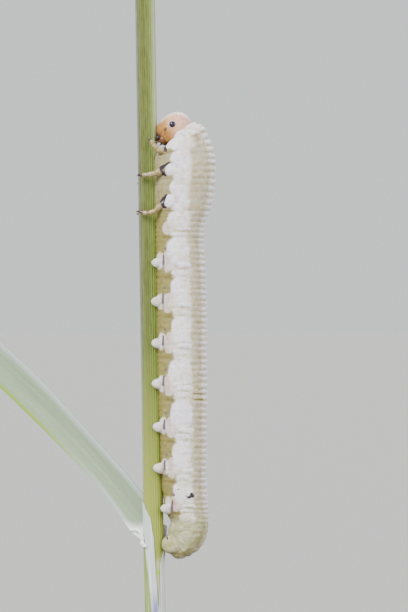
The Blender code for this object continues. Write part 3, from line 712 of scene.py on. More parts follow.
def skin_grid(settings):
    """The body's points and the values that its finish reads."""
    places = []
    for segment, rows in enumerate(SEGMENT_ROWS):
        places.extend(segment + np.arange(rows) / rows)
    places.append(float(len(SEGMENT_ROWS)))
    station = np.array(places)
    segment = np.minimum(station.astype(int), len(SEGMENT_ROWS) - 1)
    table = np.array(BODY_STATIONS)
    row = curve_through(table[:, 0], table[:, 1:], station)
    belly = np.stack([row[:, 0], np.zeros(len(row)), row[:, 1]], axis=1)
    back = np.stack([row[:, 2], np.zeros(len(row)), row[:, 3]], axis=1)
    half_width = row[:, 4][:, None]
    depth = back - belly
    half_depth = np.linalg.norm(depth, axis=1)[:, None] * 0.5
    depth = depth / (2.0 * half_depth)
    tailward = np.stack([depth[:, 2], np.zeros(len(depth)), -depth[:, 0]], axis=1)
    middle = (belly + back) * 0.5

    angle = 2.0 * math.pi * (np.arange(SKIN_COLUMNS) + 0.5) / SKIN_COLUMNS
    power = 2.0 / BODY_SQUARENESS
    up = np.sign(np.cos(angle)) * np.abs(np.cos(angle)) ** power
    side = np.sign(np.sin(angle)) * np.abs(np.sin(angle)) ** power
    shape = (len(station), SKIN_COLUMNS)
    across = np.broadcast_to(-up, shape)
    folded = math.pi - np.abs(angle - math.pi)
    part = np.broadcast_to((station - segment)[:, None], shape)
    which = np.broadcast_to(segment[:, None], shape)
    place = np.stack([np.broadcast_to(station[:, None] * 2.4, shape), across * 1.5, side * np.ones(shape)], -1)
    wander = rough(place, 0.9, 1)
    fine = rough(place, 0.35, 2)
    tiny = rough(place * np.array([1.0, 0.35, 0.35]), 0.14, 3)

    collar = which == 0
    thorax = (which == 1) | (which == 2)
    abdomen = which >= FIRST_ABDOMEN_SEGMENT
    start = np.where(collar, BACK_STARTS[0], np.where(thorax, BACK_STARTS[1], BACK_STARTS[2]))
    on_back = smooth_step(start - 0.09, start + 0.09, across + 0.09 * wander + 0.06 * fine)
    tail = np.broadcast_to(smooth_step(10.9, 11.6, station)[:, None], shape)

    folds = np.array(FOLDS)[which]
    phase = folds * part + (0.10 * wander + 0.16 * fine) * (1.0 - (2.0 * part - 1.0) ** 4)
    count = np.floor(phase)
    ridge = np.abs(np.sin(math.pi * phase)) ** 0.65
    share = 0.08 + 0.32 * on_back + 0.60 * smooth_step(0.66, 0.96, across)
    share = np.maximum(share, 0.40 * smooth_step(-0.86, -0.97, across))
    front = np.where(collar | thorax, 0.60 + 0.40 * smooth_step(0.70, 0.95, across), 1.0)
    share = share * front * (1.0 - 0.45 * tail)
    uneven = 1.0 + 0.20 * np.cos(math.pi * count) + 0.30 * wander
    height = settings.fold_height / MM * (2.0 * ridge - 1.0) * share * uneven
    bead = (0.5 + 0.5 * np.cos(folded * 30.0 + math.pi * (count % 2) + 3.0 * wander)) * ridge**2
    bead = bead * smooth_step(0.60, 0.92, across) * (1.0 - 0.5 * tail)
    height = height + settings.bead_height / MM * (2.2 * bead - 0.5 * smooth_step(0.60, 0.92, across))

    bent = across + 0.030 * wander + 0.015 * fine
    along = part + 0.020 * fine
    chalk = np.zeros(shape)
    blush = np.zeros(shape)
    cover = np.zeros(shape)
    for pads, keep in (
        (ABDOMEN_PADS, abdomen * (1.0 - 0.75 * tail)),
        (PROLEG_PADS, (which >= FIRST_PROLEG_SEGMENT) & (which <= LAST_PROLEG_SEGMENT)),
        (THORAX_PADS, thorax),
        (COLLAR_PADS, collar),
    ):
        rise, white, pink, over = pad_field(pads, bent, along, which, keep)
        height = height * (1.0 - 0.4 * over) + rise
        chalk = np.maximum(chalk, white)
        blush = np.maximum(blush, pink)
        cover = np.maximum(cover, over)
    to_edge = part - np.round(part) - 0.11 * (across + 0.6)
    mid, wide, long_half, rise, white = EDGE_PAD
    far = np.abs((bent - mid) / wide) ** 2.5 + np.abs(to_edge / long_half) ** 2.5
    keep = abdomen * (1.0 - 0.6 * tail)
    height = np.maximum(height, rise * np.sqrt(np.clip(1.0 - far, 0.0, 1.0)) * keep)
    chalk = np.maximum(chalk, white * smooth_step(1.2, 0.7, far) * keep)
    cover = np.maximum(cover, smooth_step(1.2, 0.7, far) * keep)

    crease = bell(to_edge, 0.0, 0.065) * (0.12 + 0.88 * smooth_step(-0.20, -0.36, across))
    crease = crease * (1.0 - 0.75 * smooth_step(-0.62, -0.80, across))
    crease = crease * (station[:, None] > 0.3) * (station[:, None] < 12.7) * (1.0 - 0.5 * tail)
    height = height - settings.crease_depth / MM * crease
    height = height + 0.017 * tiny + 0.014 * fine

    # Painted shade: how far the skin lies below its smoothed height darkens every furrow; the creases and the collar
    # folds are added to it.
    hollow = np.clip((soften(height, 4) - height) / 0.030, 0.0, 1.0)
    hollow = np.maximum((0.60 + 0.05 * on_back) * hollow, 0.5 * crease)
    low_side = smooth_step(-0.22, -0.40, across) * (1.0 - cover)
    belly_skin = smooth_step(-0.60, -0.80, across) * (1.0 - 0.8 * cover)
    ochre = np.maximum(0.95 * low_side, 0.97 * belly_skin) * (1.0 - 0.16 * thorax) * (1.0 - 0.5 * tail)
    patch = bell(across, 0.36, 0.17) * bell(to_edge, 0.0, 0.17) * thorax
    ochre = np.maximum(ochre, 0.35 * patch * np.clip(0.6 + 1.6 * wander, 0.0, 1.0))
    # Painted shade: ochre laid in the gaps between the side's pads.
    pad_gap_shade = bell(across, 0.16, 0.26) * (bell(along, 0.79, 0.030) + 0.8 * bell(along, 0.625, 0.022))
    pad_gap_shade = np.maximum(pad_gap_shade, 0.9 * bell(along - 0.35 * (across + 0.20), 0.52, 0.030) * bell(across, -0.18, 0.20))
    pad_gap_shade = np.maximum(pad_gap_shade, 0.5 * bell(across, 0.10, 0.40) * bell(along, 0.945, 0.025))
    pad_gap_shade = pad_gap_shade * abdomen * (1.0 - 0.6 * tail)
    ochre = np.maximum(ochre, 0.62 * pad_gap_shade * np.clip(0.55 + 1.5 * fine, 0.0, 1.0))
    ochre = np.maximum(ochre, tail * np.clip(0.32 + 0.6 * wander + 0.5 * fine, 0.08, 0.55))
    # Painted shade: an ochre band along the crease between two segments, low on the side.
    crease_shade = bell(to_edge, 0.0, 0.055) * smooth_step(-0.18, -0.34, across) * abdomen * (1.0 - tail)
    ochre = np.maximum(ochre, crease_shade)
    line = bell(across, start + 0.05, 0.075) * np.clip(0.45 + 1.2 * fine - 0.3 * ridge, 0.0, 1.0) * ~collar
    blush = np.maximum(blush, line * (1.0 - tail))
    chalk = np.maximum(chalk, smooth_step(0.74, 0.90, across) * (0.50 + 0.5 * ridge) * (1.0 - 0.6 * tail))
    chalk = np.maximum(chalk, thorax * smooth_step(-0.42, -0.34, bent) * (1.0 - on_back) * 0.85)

    v = (half_width + height) * side
    u = (half_depth + height) * across
    points = middle[:, None, :] + depth[:, None, :] * u[..., None]
    points[..., 1] += v
    start = np.clip(1.0 - station / 0.5, 0.0, 1.0)[:, None] ** 1.5
    lobes = 0.10 * np.abs(side) ** 1.5 + 0.15 * bell(-up, -0.02, 0.30) + 0.08 * bell(-up, -0.74, 0.14)
    lobes = lobes + 0.05 * bell(-up, 0.62, 0.18)
    points = points - tailward[:, None, :] * (start * lobes)[..., None]
    lip = np.clip(station / 0.16, 0.0, 1.0)
    lip_scale = 0.80 + 0.20 * np.sqrt(1.0 - (1.0 - lip) ** 2)
    centre = points.mean(axis=1, keepdims=True)
    points = centre + (points - centre) * lip_scale[:, None, None]
    outward = unit(points - centre)
    points = points + outward * (0.008 * rough(points, 0.16, 3) + 0.005 * rough(points, 0.07, 4))[..., None]

    fold = strokes(points, COLLAR_FOLDS) * (station[:, None] < 1.2)
    points = points - outward * (0.07 * fold)[..., None]
    # Painted shade in the collar's folds.
    hollow = np.maximum(hollow, 0.75 * fold)
    wide_enough = np.abs(points[..., 1]) > 0.45
    mark = strokes(points, LEG_ROOT_STROKES) * wide_enough * (across < 0.1)
    on_left = (points[..., 1] < 0.0) & wide_enough
    streak = strokes(points, BACK_STREAKS) * on_left * (0.9 + 0.2 * fine)
    dash, faint = (grid * (np.abs(points[..., 1]) > 0.7) for grid in proleg_dashes(points))
    values = {"back": on_back * (1.0 - 0.5 * tail), "hollow": hollow, "chalk": chalk, "ochre": ochre, "blush": blush}
    values.update({"mark": mark, "dash": dash, "faint": faint, "streak": streak, "bead": bead})
    blotches = np.clip(0.95 - 1.3 * np.clip(wander, 0.0, 1.0) + 0.4 * fine, 0.2, 1.0)
    values["sallow"] = smooth_step(9.8, 12.2, station)[:, None] * blotches

    last = points[-1]
    end = last.mean(axis=0)
    tip = np.array([TAIL_TIP[0], 0.0, TAIL_TIP[1]])
    cap = []
    for k in range(1, TAIL_RINGS):
        share = math.sin(0.5 * math.pi * k / TAIL_RINGS)
        cap.append(end + (last - end) * math.sqrt(1.0 - share**2) + (tip - end) * share)
    points = np.concatenate([points, np.array(cap)])
    for name, grid in values.items():
        values[name] = np.concatenate([grid, np.repeat(grid[-1:], TAIL_RINGS - 1, axis=0)])
    centre = points.mean(axis=1, keepdims=True)
    centre[-len(cap) :] = end
    points = fillet(points, unit(points - centre))
    points = swell_tail(points, centre)
    values["mark"] = np.maximum(values["mark"], strokes(points, LEFT_STROKES) * (points[..., 1] < -0.4))
    near_end = smooth_step(11.6, 10.2, points[..., 2])
    rise = near_end * (0.014 * rough(points, 0.22, 31) + 0.008 * rough(points, 0.10, 32))
    points = points + unit(points - centre) * rise[..., None]
    points = rest_on_stem(points, bpy.context.scene.grass_perch.culm_radius / MM + STEM_GAP)
    return points, values, tip


def limb_grid(path, sizes, rows, columns):
    """Rings of points along a smooth bent limb; sizes holds the half height and half thickness at each point."""
    path = np.array(path, float)
    steps = np.linalg.norm(np.diff(path, axis=0), axis=1)
    places = np.concatenate([[0.0], np.cumsum(steps)])
    wanted = np.linspace(0.0, places[-1], rows)
    centre = curve_through(places, path, wanted)
    size = np.maximum(curve_through(places, np.array(sizes, float), wanted), 0.01)
    along = unit(np.gradient(centre, wanted, axis=0))
    across = unit(np.cross(along, np.array(UP)))
    over = np.cross(across, along)
    angle = turns(columns)
    points = (
        centre[:, None, :]
        + over[:, None, :] * (size[:, 0, None] * np.cos(angle))[..., None]
        + across[:, None, :] * (size[:, 1, None] * np.sin(angle))[..., None]
    )
    return points, wanted / places[-1], centre


def proleg_parts():
    """Each proleg as a fleshy cone that clasps the stem, with the values that the skin's finish reads."""
    parts = []
    for sign in (-1.0, 1.0):
        for number, (path, sizes) in enumerate(proleg_rows(sign)):
            points, share, centre = limb_grid(path, sizes, 26, 26)
            seed = 10 + number + (20 if sign > 0 else 0)
            swell = 0.014 * rough(points, 0.20, seed) - 0.005 * np.abs(np.sin(share * PROLEG_RINGS))[:, None]
            points = points + unit(points - centre[:, None, :]) * swell[..., None]
            end = centre[-1] + (centre[-1] - centre[-2]) * 0.6
            mesh = grid_mesh("proleg", points, centre[0], end)
            cover = np.broadcast_to(share[:, None], points.shape[:2])
            mottle = rough(points, 0.30, seed + 1)
            values = {"mark": 0.0, "streak": 0.0, "bead": 0.0, "sallow": 0.0, "back": 0.2}
            # Painted shade in the shallow rings round each proleg.
            values["hollow"] = 0.20 * np.abs(np.cos(cover * PROLEG_RINGS)) ** 6
            values["chalk"] = 0.12 + 0.38 * cover
            values["ochre"] = np.clip(0.20 - 0.12 * cover + 0.5 * mottle, 0.0, 0.5)
            values["blush"] = 0.45 * (1.0 - smooth_step(0.15, 0.55, cover))
            values["dash"], values["faint"] = proleg_dashes(points)
            set_values(mesh, values)
            parts.append(new_object("proleg", mesh))
    return parts


def node(tree, kind, inputs=None, out=0, stops=(), **settings):
    """Add a node with its settings, a ramp's stops and its inputs' values or links; returns the output asked for.

    A hex colour is turned to linear, and a name after @ links a value that is stored on the piece.
    """
    made = tree.nodes.new(kind)
    for name, value in settings.items():
        setattr(made, name, value)
    for key, value in (inputs or {}).items():
        if isinstance(value, str) and value.startswith("@"):
            value = node(tree, "ShaderNodeAttribute", out="Fac", attribute_name=value[1:])
        if isinstance(value, bpy.types.NodeSocket):
            tree.links.new(value, made.inputs[key])
        else:
            made.inputs[key].default_value = linear(value)
    for _ in stops[2:]:
        made.color_ramp.elements.new(1.0)
    for number, (place, value) in enumerate(stops):
        made.color_ramp.elements[number].position = place
        made.color_ramp.elements[number].color = linear(value)
    return made if out is None else made.outputs[out]


def new_material(name, **values):
    """A material with a Principled shader whose plain values are set; returns it, its tree and the shader."""
    material = bpy.data.materials.new(name)
    material.use_nodes = True
    tree = material.node_tree
    shader = tree.nodes["Principled BSDF"]
    for key, value in values.items():
        shader.inputs[key.replace("_", " ").title().replace("Ior", "IOR")].default_value = value
    return material, tree, shader


def lay(tree, base, *layers):
    """Lay colours over a base one after another; a layer holds its blend, how strongly it covers, and its colour."""
    for blend, factor, value in layers:
        inputs = {0: factor, 6: base, 7: value}
        base = node(tree, "ShaderNodeMix", inputs, 2, data_type="RGBA", blend_type=blend)
    return base


def speckle(tree, size, detail):
    """An even noise on object coordinates with features of a size in millimetres."""
    place = node(tree, "ShaderNodeTexCoord", out="Object")
    return node(tree, "ShaderNodeTexNoise", {"Vector": place, "Scale": 1.0 / (size * MM), "Detail": detail})


def fibres(tree, place, sizes, detail):
    """A noise drawn out along fibres; its grain's size along each axis is in the units of the place."""
    scale = tuple(1.0 / size for size in sizes)
    stretched = node(tree, "ShaderNodeMapping", {"Vector": place, "Scale": scale})
    return node(tree, "ShaderNodeTexNoise", {"Vector": stretched, "Scale": 1.0, "Detail": detail})


def cut(tree, name, soft=0.05):
    """A drawn mark's cover from its stored slope, its edge broken up by a fine noise."""
    ragged = {0: speckle(tree, 0.07, 2.0), 1: 0.22, 2: "@" + name}
    slope = node(tree, "ShaderNodeMath", ragged, operation="MULTIPLY_ADD")
    return node(tree, "ShaderNodeMapRange", {"Value": slope, "From Min": 0.65 - soft, "From Max": 0.65 + soft})


def dress(tree, shader, base, height, strength):
    """Give a shader its colour and its fine relief."""
    tree.links.new(base, shader.inputs["Base Color"])
    relief = node(tree, "ShaderNodeBump", {"Height": height, "Strength": strength, "Distance": RELIEF * MM})
    tree.links.new(relief, shader.inputs["Normal"])


def skin_material():
    """Larval skin, soft and moist under a coat of white wax: matt on the folds, a faint wet gleam in the furrows, and
    painted shade that darkens every furrow and crease.
    """
    settings = bpy.context.scene.larva_skin
    material, tree, shader = new_material(
        "larval_skin_wax_bloomed",
        subsurface_weight=0.12,
        subsurface_scale=0.25 * MM,
        subsurface_radius=(1.0, 0.75, 0.5),
        specular_ior_level=0.35,
    )
    place = node(tree, "ShaderNodeTexCoord", out="Object")
    specks = node(tree, "ShaderNodeTexVoronoi", {"Vector": place, "Scale": 1.0 / (0.15 * MM)})
    tint, mottle, fleck = (
        node(tree, "ShaderNodeValToRGB", {"Fac": pattern}, stops=stops)
        for pattern, stops in (
            (speckle(tree, 0.60, 3.0), ((0.36, "#E6DFC6"), (0.50, "#FFFFFF"), (0.64, "#E8E4F4"))),
            (speckle(tree, 0.22, 2.0), ((0.36, "#E9E2D0"), (0.50, "#FFFFFF"))),
            (specks, ((0.10, "#FFFFFF"), (0.45, "#E6E1D4"))),
        )
    )
    faint = node(tree, "ShaderNodeMath", {0: cut(tree, "faint", 0.15), 1: 0.5}, operation="MULTIPLY")
    base = lay(
        tree,
        settings.side,
        ("MIX", "@back", settings.back),
        ("MIX", "@ochre", settings.ochre),
        ("MIX", "@blush", settings.blush),
        ("MIX", "@chalk", settings.chalk),
        ("MULTIPLY", 0.6, tint),
        ("MULTIPLY", 0.6, mottle),
        ("MULTIPLY", 0.4, fleck),
        ("MULTIPLY", "@sallow", "#E2EABC"),
        # Painted shade in the furrows and creases.
        ("MULTIPLY", "@hollow", settings.hollow),
        ("MIX", cut(tree, "streak", 0.12), settings.streak),
        # Painted crease shade along the prolegs' roots, faint and dark, with the small spots above them.
        ("MIX", faint, settings.dash),
        ("MIX", cut(tree, "dash", 0.10), settings.dash),
        ("MIX", cut(tree, "mark"), settings.mark),
    )
    # The same furrow mask also lowers the roughness there, for a faint wet gleam.
    wet = node(tree, "ShaderNodeMapRange", {"Value": "@hollow", "To Min": 0.66, "To Max": 0.42})
    tree.links.new(wet, shader.inputs["Roughness"])
    dress(tree, shader, base, speckle(tree, 0.09, 2.0), 0.6)
    return material


class LARVA_OT_skin(bpy.types.Operator):
    """Build the body and its prolegs under one skin"""

    bl_idname = "larva.skin"
    bl_label = "Body skin"

    def execute(self, context):
        points, values, tip = skin_grid(context.scene.larva_skin)
        start = points[0].mean(axis=0)
        mesh = grid_mesh("body", points, start, tip)
        set_values(mesh, values)
        item = join("body_skin", [new_object("body", mesh)] + proleg_parts())
        prolegs = [f"proleg_{n}_{side}" for n in (*range(2, 9), "anal") for side in ("left", "right")]
        place_piece(item, skin_material(), SEGMENT_NODES + tuple(prolegs))
        return {"FINISHED"}


def head_axes():
    """The head's own axes: towards the mouth, forward over the face, and out to the larva's left."""
    mouthward = np.array([-math.sin(HEAD_TILT), 0.0, -math.cos(HEAD_TILT)])
    forward = np.array([-math.cos(HEAD_TILT), 0.0, math.sin(HEAD_TILT)])
    return mouthward, forward, np.array([0.0, -1.0, 0.0])


def head_place(along, front, out):
    """Points placed by lengths along the head's own axes."""
    mouthward, forward, side = head_axes()
    along = np.asarray(along, float)[..., None]
    front = np.asarray(front, float)[..., None]
    out = np.asarray(out, float)[..., None]
    return np.array(HEAD_CENTRE) + mouthward * along + forward * front + side * out


def head_half_width(along, front):
    """How far the capsule reaches to the side at a place seen from that side."""
    share = (along / HEAD_HALF_LENGTH) ** 2 + (front / HEAD_HALF_DEPTH) ** 2
    narrow = 1.0 - MOUTH_NARROWING * along / HEAD_HALF_LENGTH
    return HEAD_HALF_WIDTH * narrow * math.sqrt(max(0.0, 1.0 - share))


def side_normal(along, front, sign):
    """The capsule's outward direction at a place on its side."""
    mouthward, forward, side = head_axes()
    width = head_half_width(along, front)
    normal = mouthward * (along / HEAD_HALF_LENGTH**2) + forward * (front / HEAD_HALF_DEPTH**2)
    return unit(normal + side * (sign * width / HEAD_HALF_WIDTH**2))


def lump(name, centre, sizes, columns=40, rows=24):
    """An egg-shaped lump along the head's axes."""
    axes = head_axes()
    polar = math.pi * (np.arange(rows) + 0.5) / rows
    turn = turns(columns)
    ball = (
        np.broadcast_to(np.cos(polar)[:, None], (rows, columns)),
        np.sin(polar)[:, None] * np.cos(turn)[None, :],
        np.sin(polar)[:, None] * np.sin(turn)[None, :],
    )
    points = centre + sum(grid[..., None] * size * axis for grid, size, axis in zip(ball, sizes, axes))
    return new_object(name, grid_mesh(name, points, centre + axes[0] * sizes[0], centre - axes[0] * sizes[0]))


def head_grid():
    """The capsule's points with its sutures and swellings, and the values that its finish reads."""
    polar = math.pi * (np.arange(HEAD_ROWS) + 0.5) / HEAD_ROWS
    turn = turns(HEAD_COLUMNS)
    shape = (HEAD_ROWS, HEAD_COLUMNS)
    along = np.broadcast_to(np.cos(polar)[:, None], shape)
    front = np.sin(polar)[:, None] * np.cos(turn)[None, :]
    out = np.sin(polar)[:, None] * np.sin(turn)[None, :]
    face_side = smooth_step(0.0, 0.5, front)
    suture = bell(out, 0.0, 0.035) * smooth_step(0.35, 0.15, along) * smooth_step(-0.75, -0.2, front + 0.4)
    arm = bell(np.abs(out), 0.42 * np.clip(along + 0.15, 0.0, None) / 0.75, 0.03) * face_side
    arm = arm * smooth_step(-0.15, 0.0, along) * smooth_step(0.62, 0.45, along)
    clypeus = np.exp(-((((along - 0.66) / 0.16) ** 2 + (out / 0.40) ** 2) ** 2)) * face_side
    lip_groove = bell(along, 0.84, 0.03) * face_side * smooth_step(0.55, 0.35, np.abs(out))
    cheek = np.exp(-(((along - 0.72) / 0.22) ** 2 + ((np.abs(out) - 0.52) / 0.20) ** 2 + ((front - 0.1) / 0.4) ** 2))
    swell = 0.035 * clypeus + 0.05 * cheek - 0.022 * suture - 0.018 * arm - 0.022 * lip_groove
    narrow = 1.0 - MOUTH_NARROWING * along
    points = head_place(along * HEAD_HALF_LENGTH, front * HEAD_HALF_DEPTH, out * HEAD_HALF_WIDTH * narrow)
    centre = np.array(HEAD_CENTRE)
    outward = unit(points - centre)
    full = np.clip(outward @ np.array([-0.97, 0.0, -0.25]), 0.0, 1.0) ** 2
    points[..., 0] -= FACE_FULLNESS * full
    for sign in (-1.0, 1.0):
        for (place_along, place_front), radius, ring_height in (
            (EYE_PLACE, 0.245, 0.028),
            (ANTENNA_PLACE, 0.165, 0.022),
        ):
            spot = head_place(place_along, place_front, sign * head_half_width(place_along, place_front))
            distance = np.linalg.norm(points - spot, axis=-1)
            swell = swell + ring_height * bell(distance, radius, 0.05)
    points = points + outward * (swell + 0.006 * rough(points, 0.18, 5))[..., None]
    points = rest_on_stem(points, bpy.context.scene.grass_perch.culm_radius / MM + STEM_GAP)
    mouthward, forward, _ = head_axes()
    down = (points - centre) @ mouthward / HEAD_HALF_LENGTH
    fore = (points - centre) @ forward / HEAD_HALF_DEPTH
    freckle = strokes(points, FACE_STROKES) * (np.abs(points[..., 1]) > 0.25)
    values = {
        "face": smooth_step(-0.22, 0.52, 0.90 * down + 0.36 * fore + 0.14 * rough(points, 0.5, 6)),
        "cheek": smooth_step(-0.75, 0.05, 0.9 * down + 0.1 * fore + 0.08 * rough(points, 0.4, 16)),
        "mouth": smooth_step(0.72, 0.98, down + 0.22 * np.clip(fore, 0.0, 1.0) + 0.07 * rough(points, 0.25, 7)),
        "freckle": freckle * (0.75 + 0.35 * rough(points, 0.1, 17)),
        "groove": np.clip(suture + arm + lip_groove, 0.0, 1.0),
        # Painted reflection: the upward-facing top of the head is whitened as if it mirrored the pale sky.
        "bloom": smooth_step(0.62, 0.36, np.abs(outward[..., 1])) * smooth_step(0.25, 0.60, outward[..., 2]),
    }
    for name, row, edge in (("eye_ring", EYE_PLACE, 0.22), ("socket", ANTENNA_PLACE, 0.15)):
        spots = (head_place(*row, sign * head_half_width(*row)) for sign in (-1.0, 1.0))
        nearest = np.min([np.linalg.norm(points - spot, axis=-1) for spot in spots], axis=0)
        values[name] = smooth_step(edge + 0.035, edge - 0.02, nearest)
    return points, values


def head_material():
    """Head capsule, hard larval cuticle: satin, pale pink on the crown, amber on the face, with fine dark netting and
    a painted whitish reflection of the sky on top.
    """
    settings = bpy.context.scene.larva_head
    material, tree, shader = new_material(
        "head_capsule_cuticle",
        roughness=0.38,
        subsurface_weight=0.18,
        subsurface_scale=0.3 * MM,
        subsurface_radius=(1.0, 0.6, 0.35),
        coat_weight=0.25,
        coat_roughness=0.3,
    )
    cells = {"Vector": node(tree, "ShaderNodeTexCoord", out="Object"), "Scale": 1.0 / (0.10 * MM)}
    net = node(tree, "ShaderNodeTexVoronoi", cells, feature="DISTANCE_TO_EDGE")
    veil, lines = (
        node(tree, "ShaderNodeValToRGB", {"Fac": pattern}, stops=stops)
        for pattern, stops in (
            (speckle(tree, 0.35, 3.0), ((0.35, "#D9B7A6"), (0.52, "#FFFFFF"), (0.70, "#F3DDE0"))),
            (net, ((0.0, "#C9A78F"), (0.18, "#FFFFFF"))),
        )
    )
    bloom, freckle = (
        node(tree, "ShaderNodeMath", {0: cover, 1: most}, operation="MULTIPLY")
        for cover, most in (("@bloom", 0.6), (cut(tree, "freckle", 0.2), 0.7))
    )
    base = lay(
        tree,
        settings.crown,
        ("MIX", "@cheek", settings.cheek),
        ("MIX", "@face", settings.face),
        ("MULTIPLY", 0.55, veil),
        ("MULTIPLY", 0.14, lines),
        # Painted sky reflection on the top of the head.
        ("MIX", bloom, "#EDE9F2"),
        ("MIX", "@groove", "#A8703C"),
        ("MIX", freckle, "#8A4A2A"),
        ("MIX", "@socket", "#B98B4E"),
        ("MIX", "@mouth", settings.mouth),
        ("MIX", "@eye_ring", "#B08F8E"),
    )
    dress(tree, shader, base, net, 0.2)
    return material


class LARVA_OT_head(bpy.types.Operator):
    """Build the head capsule with its sutures, lips and cheeks"""

    bl_idname = "larva.head"
    bl_label = "Head capsule"

    def execute(self, context):
        points, values = head_grid()
        mesh = grid_mesh("head", points, *(head_place(end * HEAD_HALF_LENGTH, 0.0, 0.0) for end in (1.0, -1.0)))
        set_values(mesh, values)
        item = new_object("head_capsule", mesh)
        place_piece(item, head_material(), ("head",))
        return {"FINISHED"}


def peg(name, centre, out, profile, sides=32):
    """A short round piece along a direction; its profile holds distances along it and radii."""
    out = unit(out)
    helper = unit(np.cross(out, UP))
    other = np.cross(out, helper)
    turn = turns(sides)[:, None]
    spin = helper * np.cos(turn) + other * np.sin(turn)
    rows = [centre + out * place + spin * radius for place, radius in profile]
    last, radius = profile[-1]
    ends = (centre + out * profile[0][0], centre + out * (last + 0.3 * radius))
    return new_object(name, grid_mesh(name, np.array(rows), *ends))


def glossy_material(name, value, roughness, coat, size, second):
    """Hard smooth cuticle in one dark colour, with a slow change of tone that keeps it from looking painted."""
    material, tree, shader = new_material(name, roughness=roughness, coat_weight=coat, coat_roughness=0.05)
    tone = speckle(tree, size, 2.0)
    share = node(tree, "ShaderNodeMapRange", {"Value": tone, "From Min": 0.35, "From Max": 0.65})
    dress(tree, shader, lay(tree, value, ("MIX", share, second)), tone, 0.15)
    return material


class LARVA_OT_eyes(bpy.types.Operator):
    """Build both eyes as polished domes"""

    bl_idname = "larva.eyes"
    bl_label = "Eyes"

    def execute(self, context):
        settings = context.scene.larva_head
        radius = settings.eye_radius / MM
        material = glossy_material("eye_lens_polished", settings.eye, 0.10, 0.30, 0.16, "#1C163A")
        for side, sign in (("left", 1.0), ("right", -1.0)):
            centre = head_place(*EYE_PLACE, sign * head_half_width(*EYE_PLACE))
            out = side_normal(*EYE_PLACE, sign)
            shares = [math.sin(0.5 * math.pi * k / 10) for k in range(10)]
            dome = [(EYE_RISE * share, radius * math.sqrt(1.0 - share**2)) for share in shares]
            item = peg("eye_lens_" + side, centre, out, [(EYE_ROOT, radius)] + dome)
            place_piece(item, material, ("eye_" + side,))
        return {"FINISHED"}


class LARVA_OT_mouthparts(bpy.types.Operator):
    """Build the antennae, the jaws, the lips and the feelers of the mouth"""

    bl_idname = "larva.mouthparts"
    bl_label = "Antennae and mouthparts"

    def execute(self, context):
        settings = context.scene.larva_head
        jaw = glossy_material("jaw_cuticle_hard", settings.jaw, 0.48, 0.0, 0.2, "#2A1206")
        brown = glossy_material("mouthpart_cuticle", settings.mouth, 0.45, 0.1, 0.15, "#6E3F1E")
        antenna = glossy_material("antenna_cuticle", "#8A5A2B", 0.4, 0.3, 0.1, "#5D3A1C")
        axes = np.array(head_axes())
        soft = []
        for side, sign in (("left", 1.0), ("right", -1.0)):
            mirror = np.array([1.0, 1.0, sign])
            centre = head_place(*ANTENNA_PLACE, sign * head_half_width(*ANTENNA_PLACE))
            out = side_normal(*ANTENNA_PLACE, sign) + 0.35 * axes[0]
            item = peg("antenna_cone_" + side, centre, out, ANTENNA_PROFILE)
            place_piece(item, antenna, ("antenna_" + side,))
            item = join("jaw_" + side, [lump("jaw", head_place(*mirror * place), sizes) for place, sizes in JAW_LUMPS])
            place_piece(item, jaw, ("mandible_" + side,))
            for root, direction, size in PALPS:
                profile = [(place, size * share) for place, share in PALP_PROFILE]
                soft.append(peg("palp", head_place(*mirror * root), mirror * direction @ axes, profile, 20))
            soft.append(lump("maxilla", head_place(*mirror * MAXILLA[0]), MAXILLA[1]))
        soft.extend(lump("lip", head_place(*place), sizes) for place, sizes in LIPS)
        place_piece(join("mouthparts", soft), brown)
        return {"FINISHED"}


def leg_material():
    """Leg cuticle, thin and hard over pale flesh: satin, ochre at the joints, with a dark plate at its root."""
    material, tree, shader = new_material(
        "leg_cuticle_satin", roughness=0.36, subsurface_weight=0.1, subsurface_scale=0.15 * MM, coat_weight=0.2
    )
    tone = speckle(tree, 0.20, 3.0)
    stops = ((0.32, "#86703F"), (0.50, bpy.context.scene.larva_head.leg), (0.70, "#ACA28C"))
    mark = bpy.context.scene.larva_skin.mark
    base = node(tree, "ShaderNodeValToRGB", {"Fac": tone}, stops=stops)
    base = lay(tree, base, ("MIX", "@joint", "#8C6C4A"), ("MIX", cut(tree, "mark", 0.08), mark))
    dress(tree, shader, base, tone, 0.4)
    return material


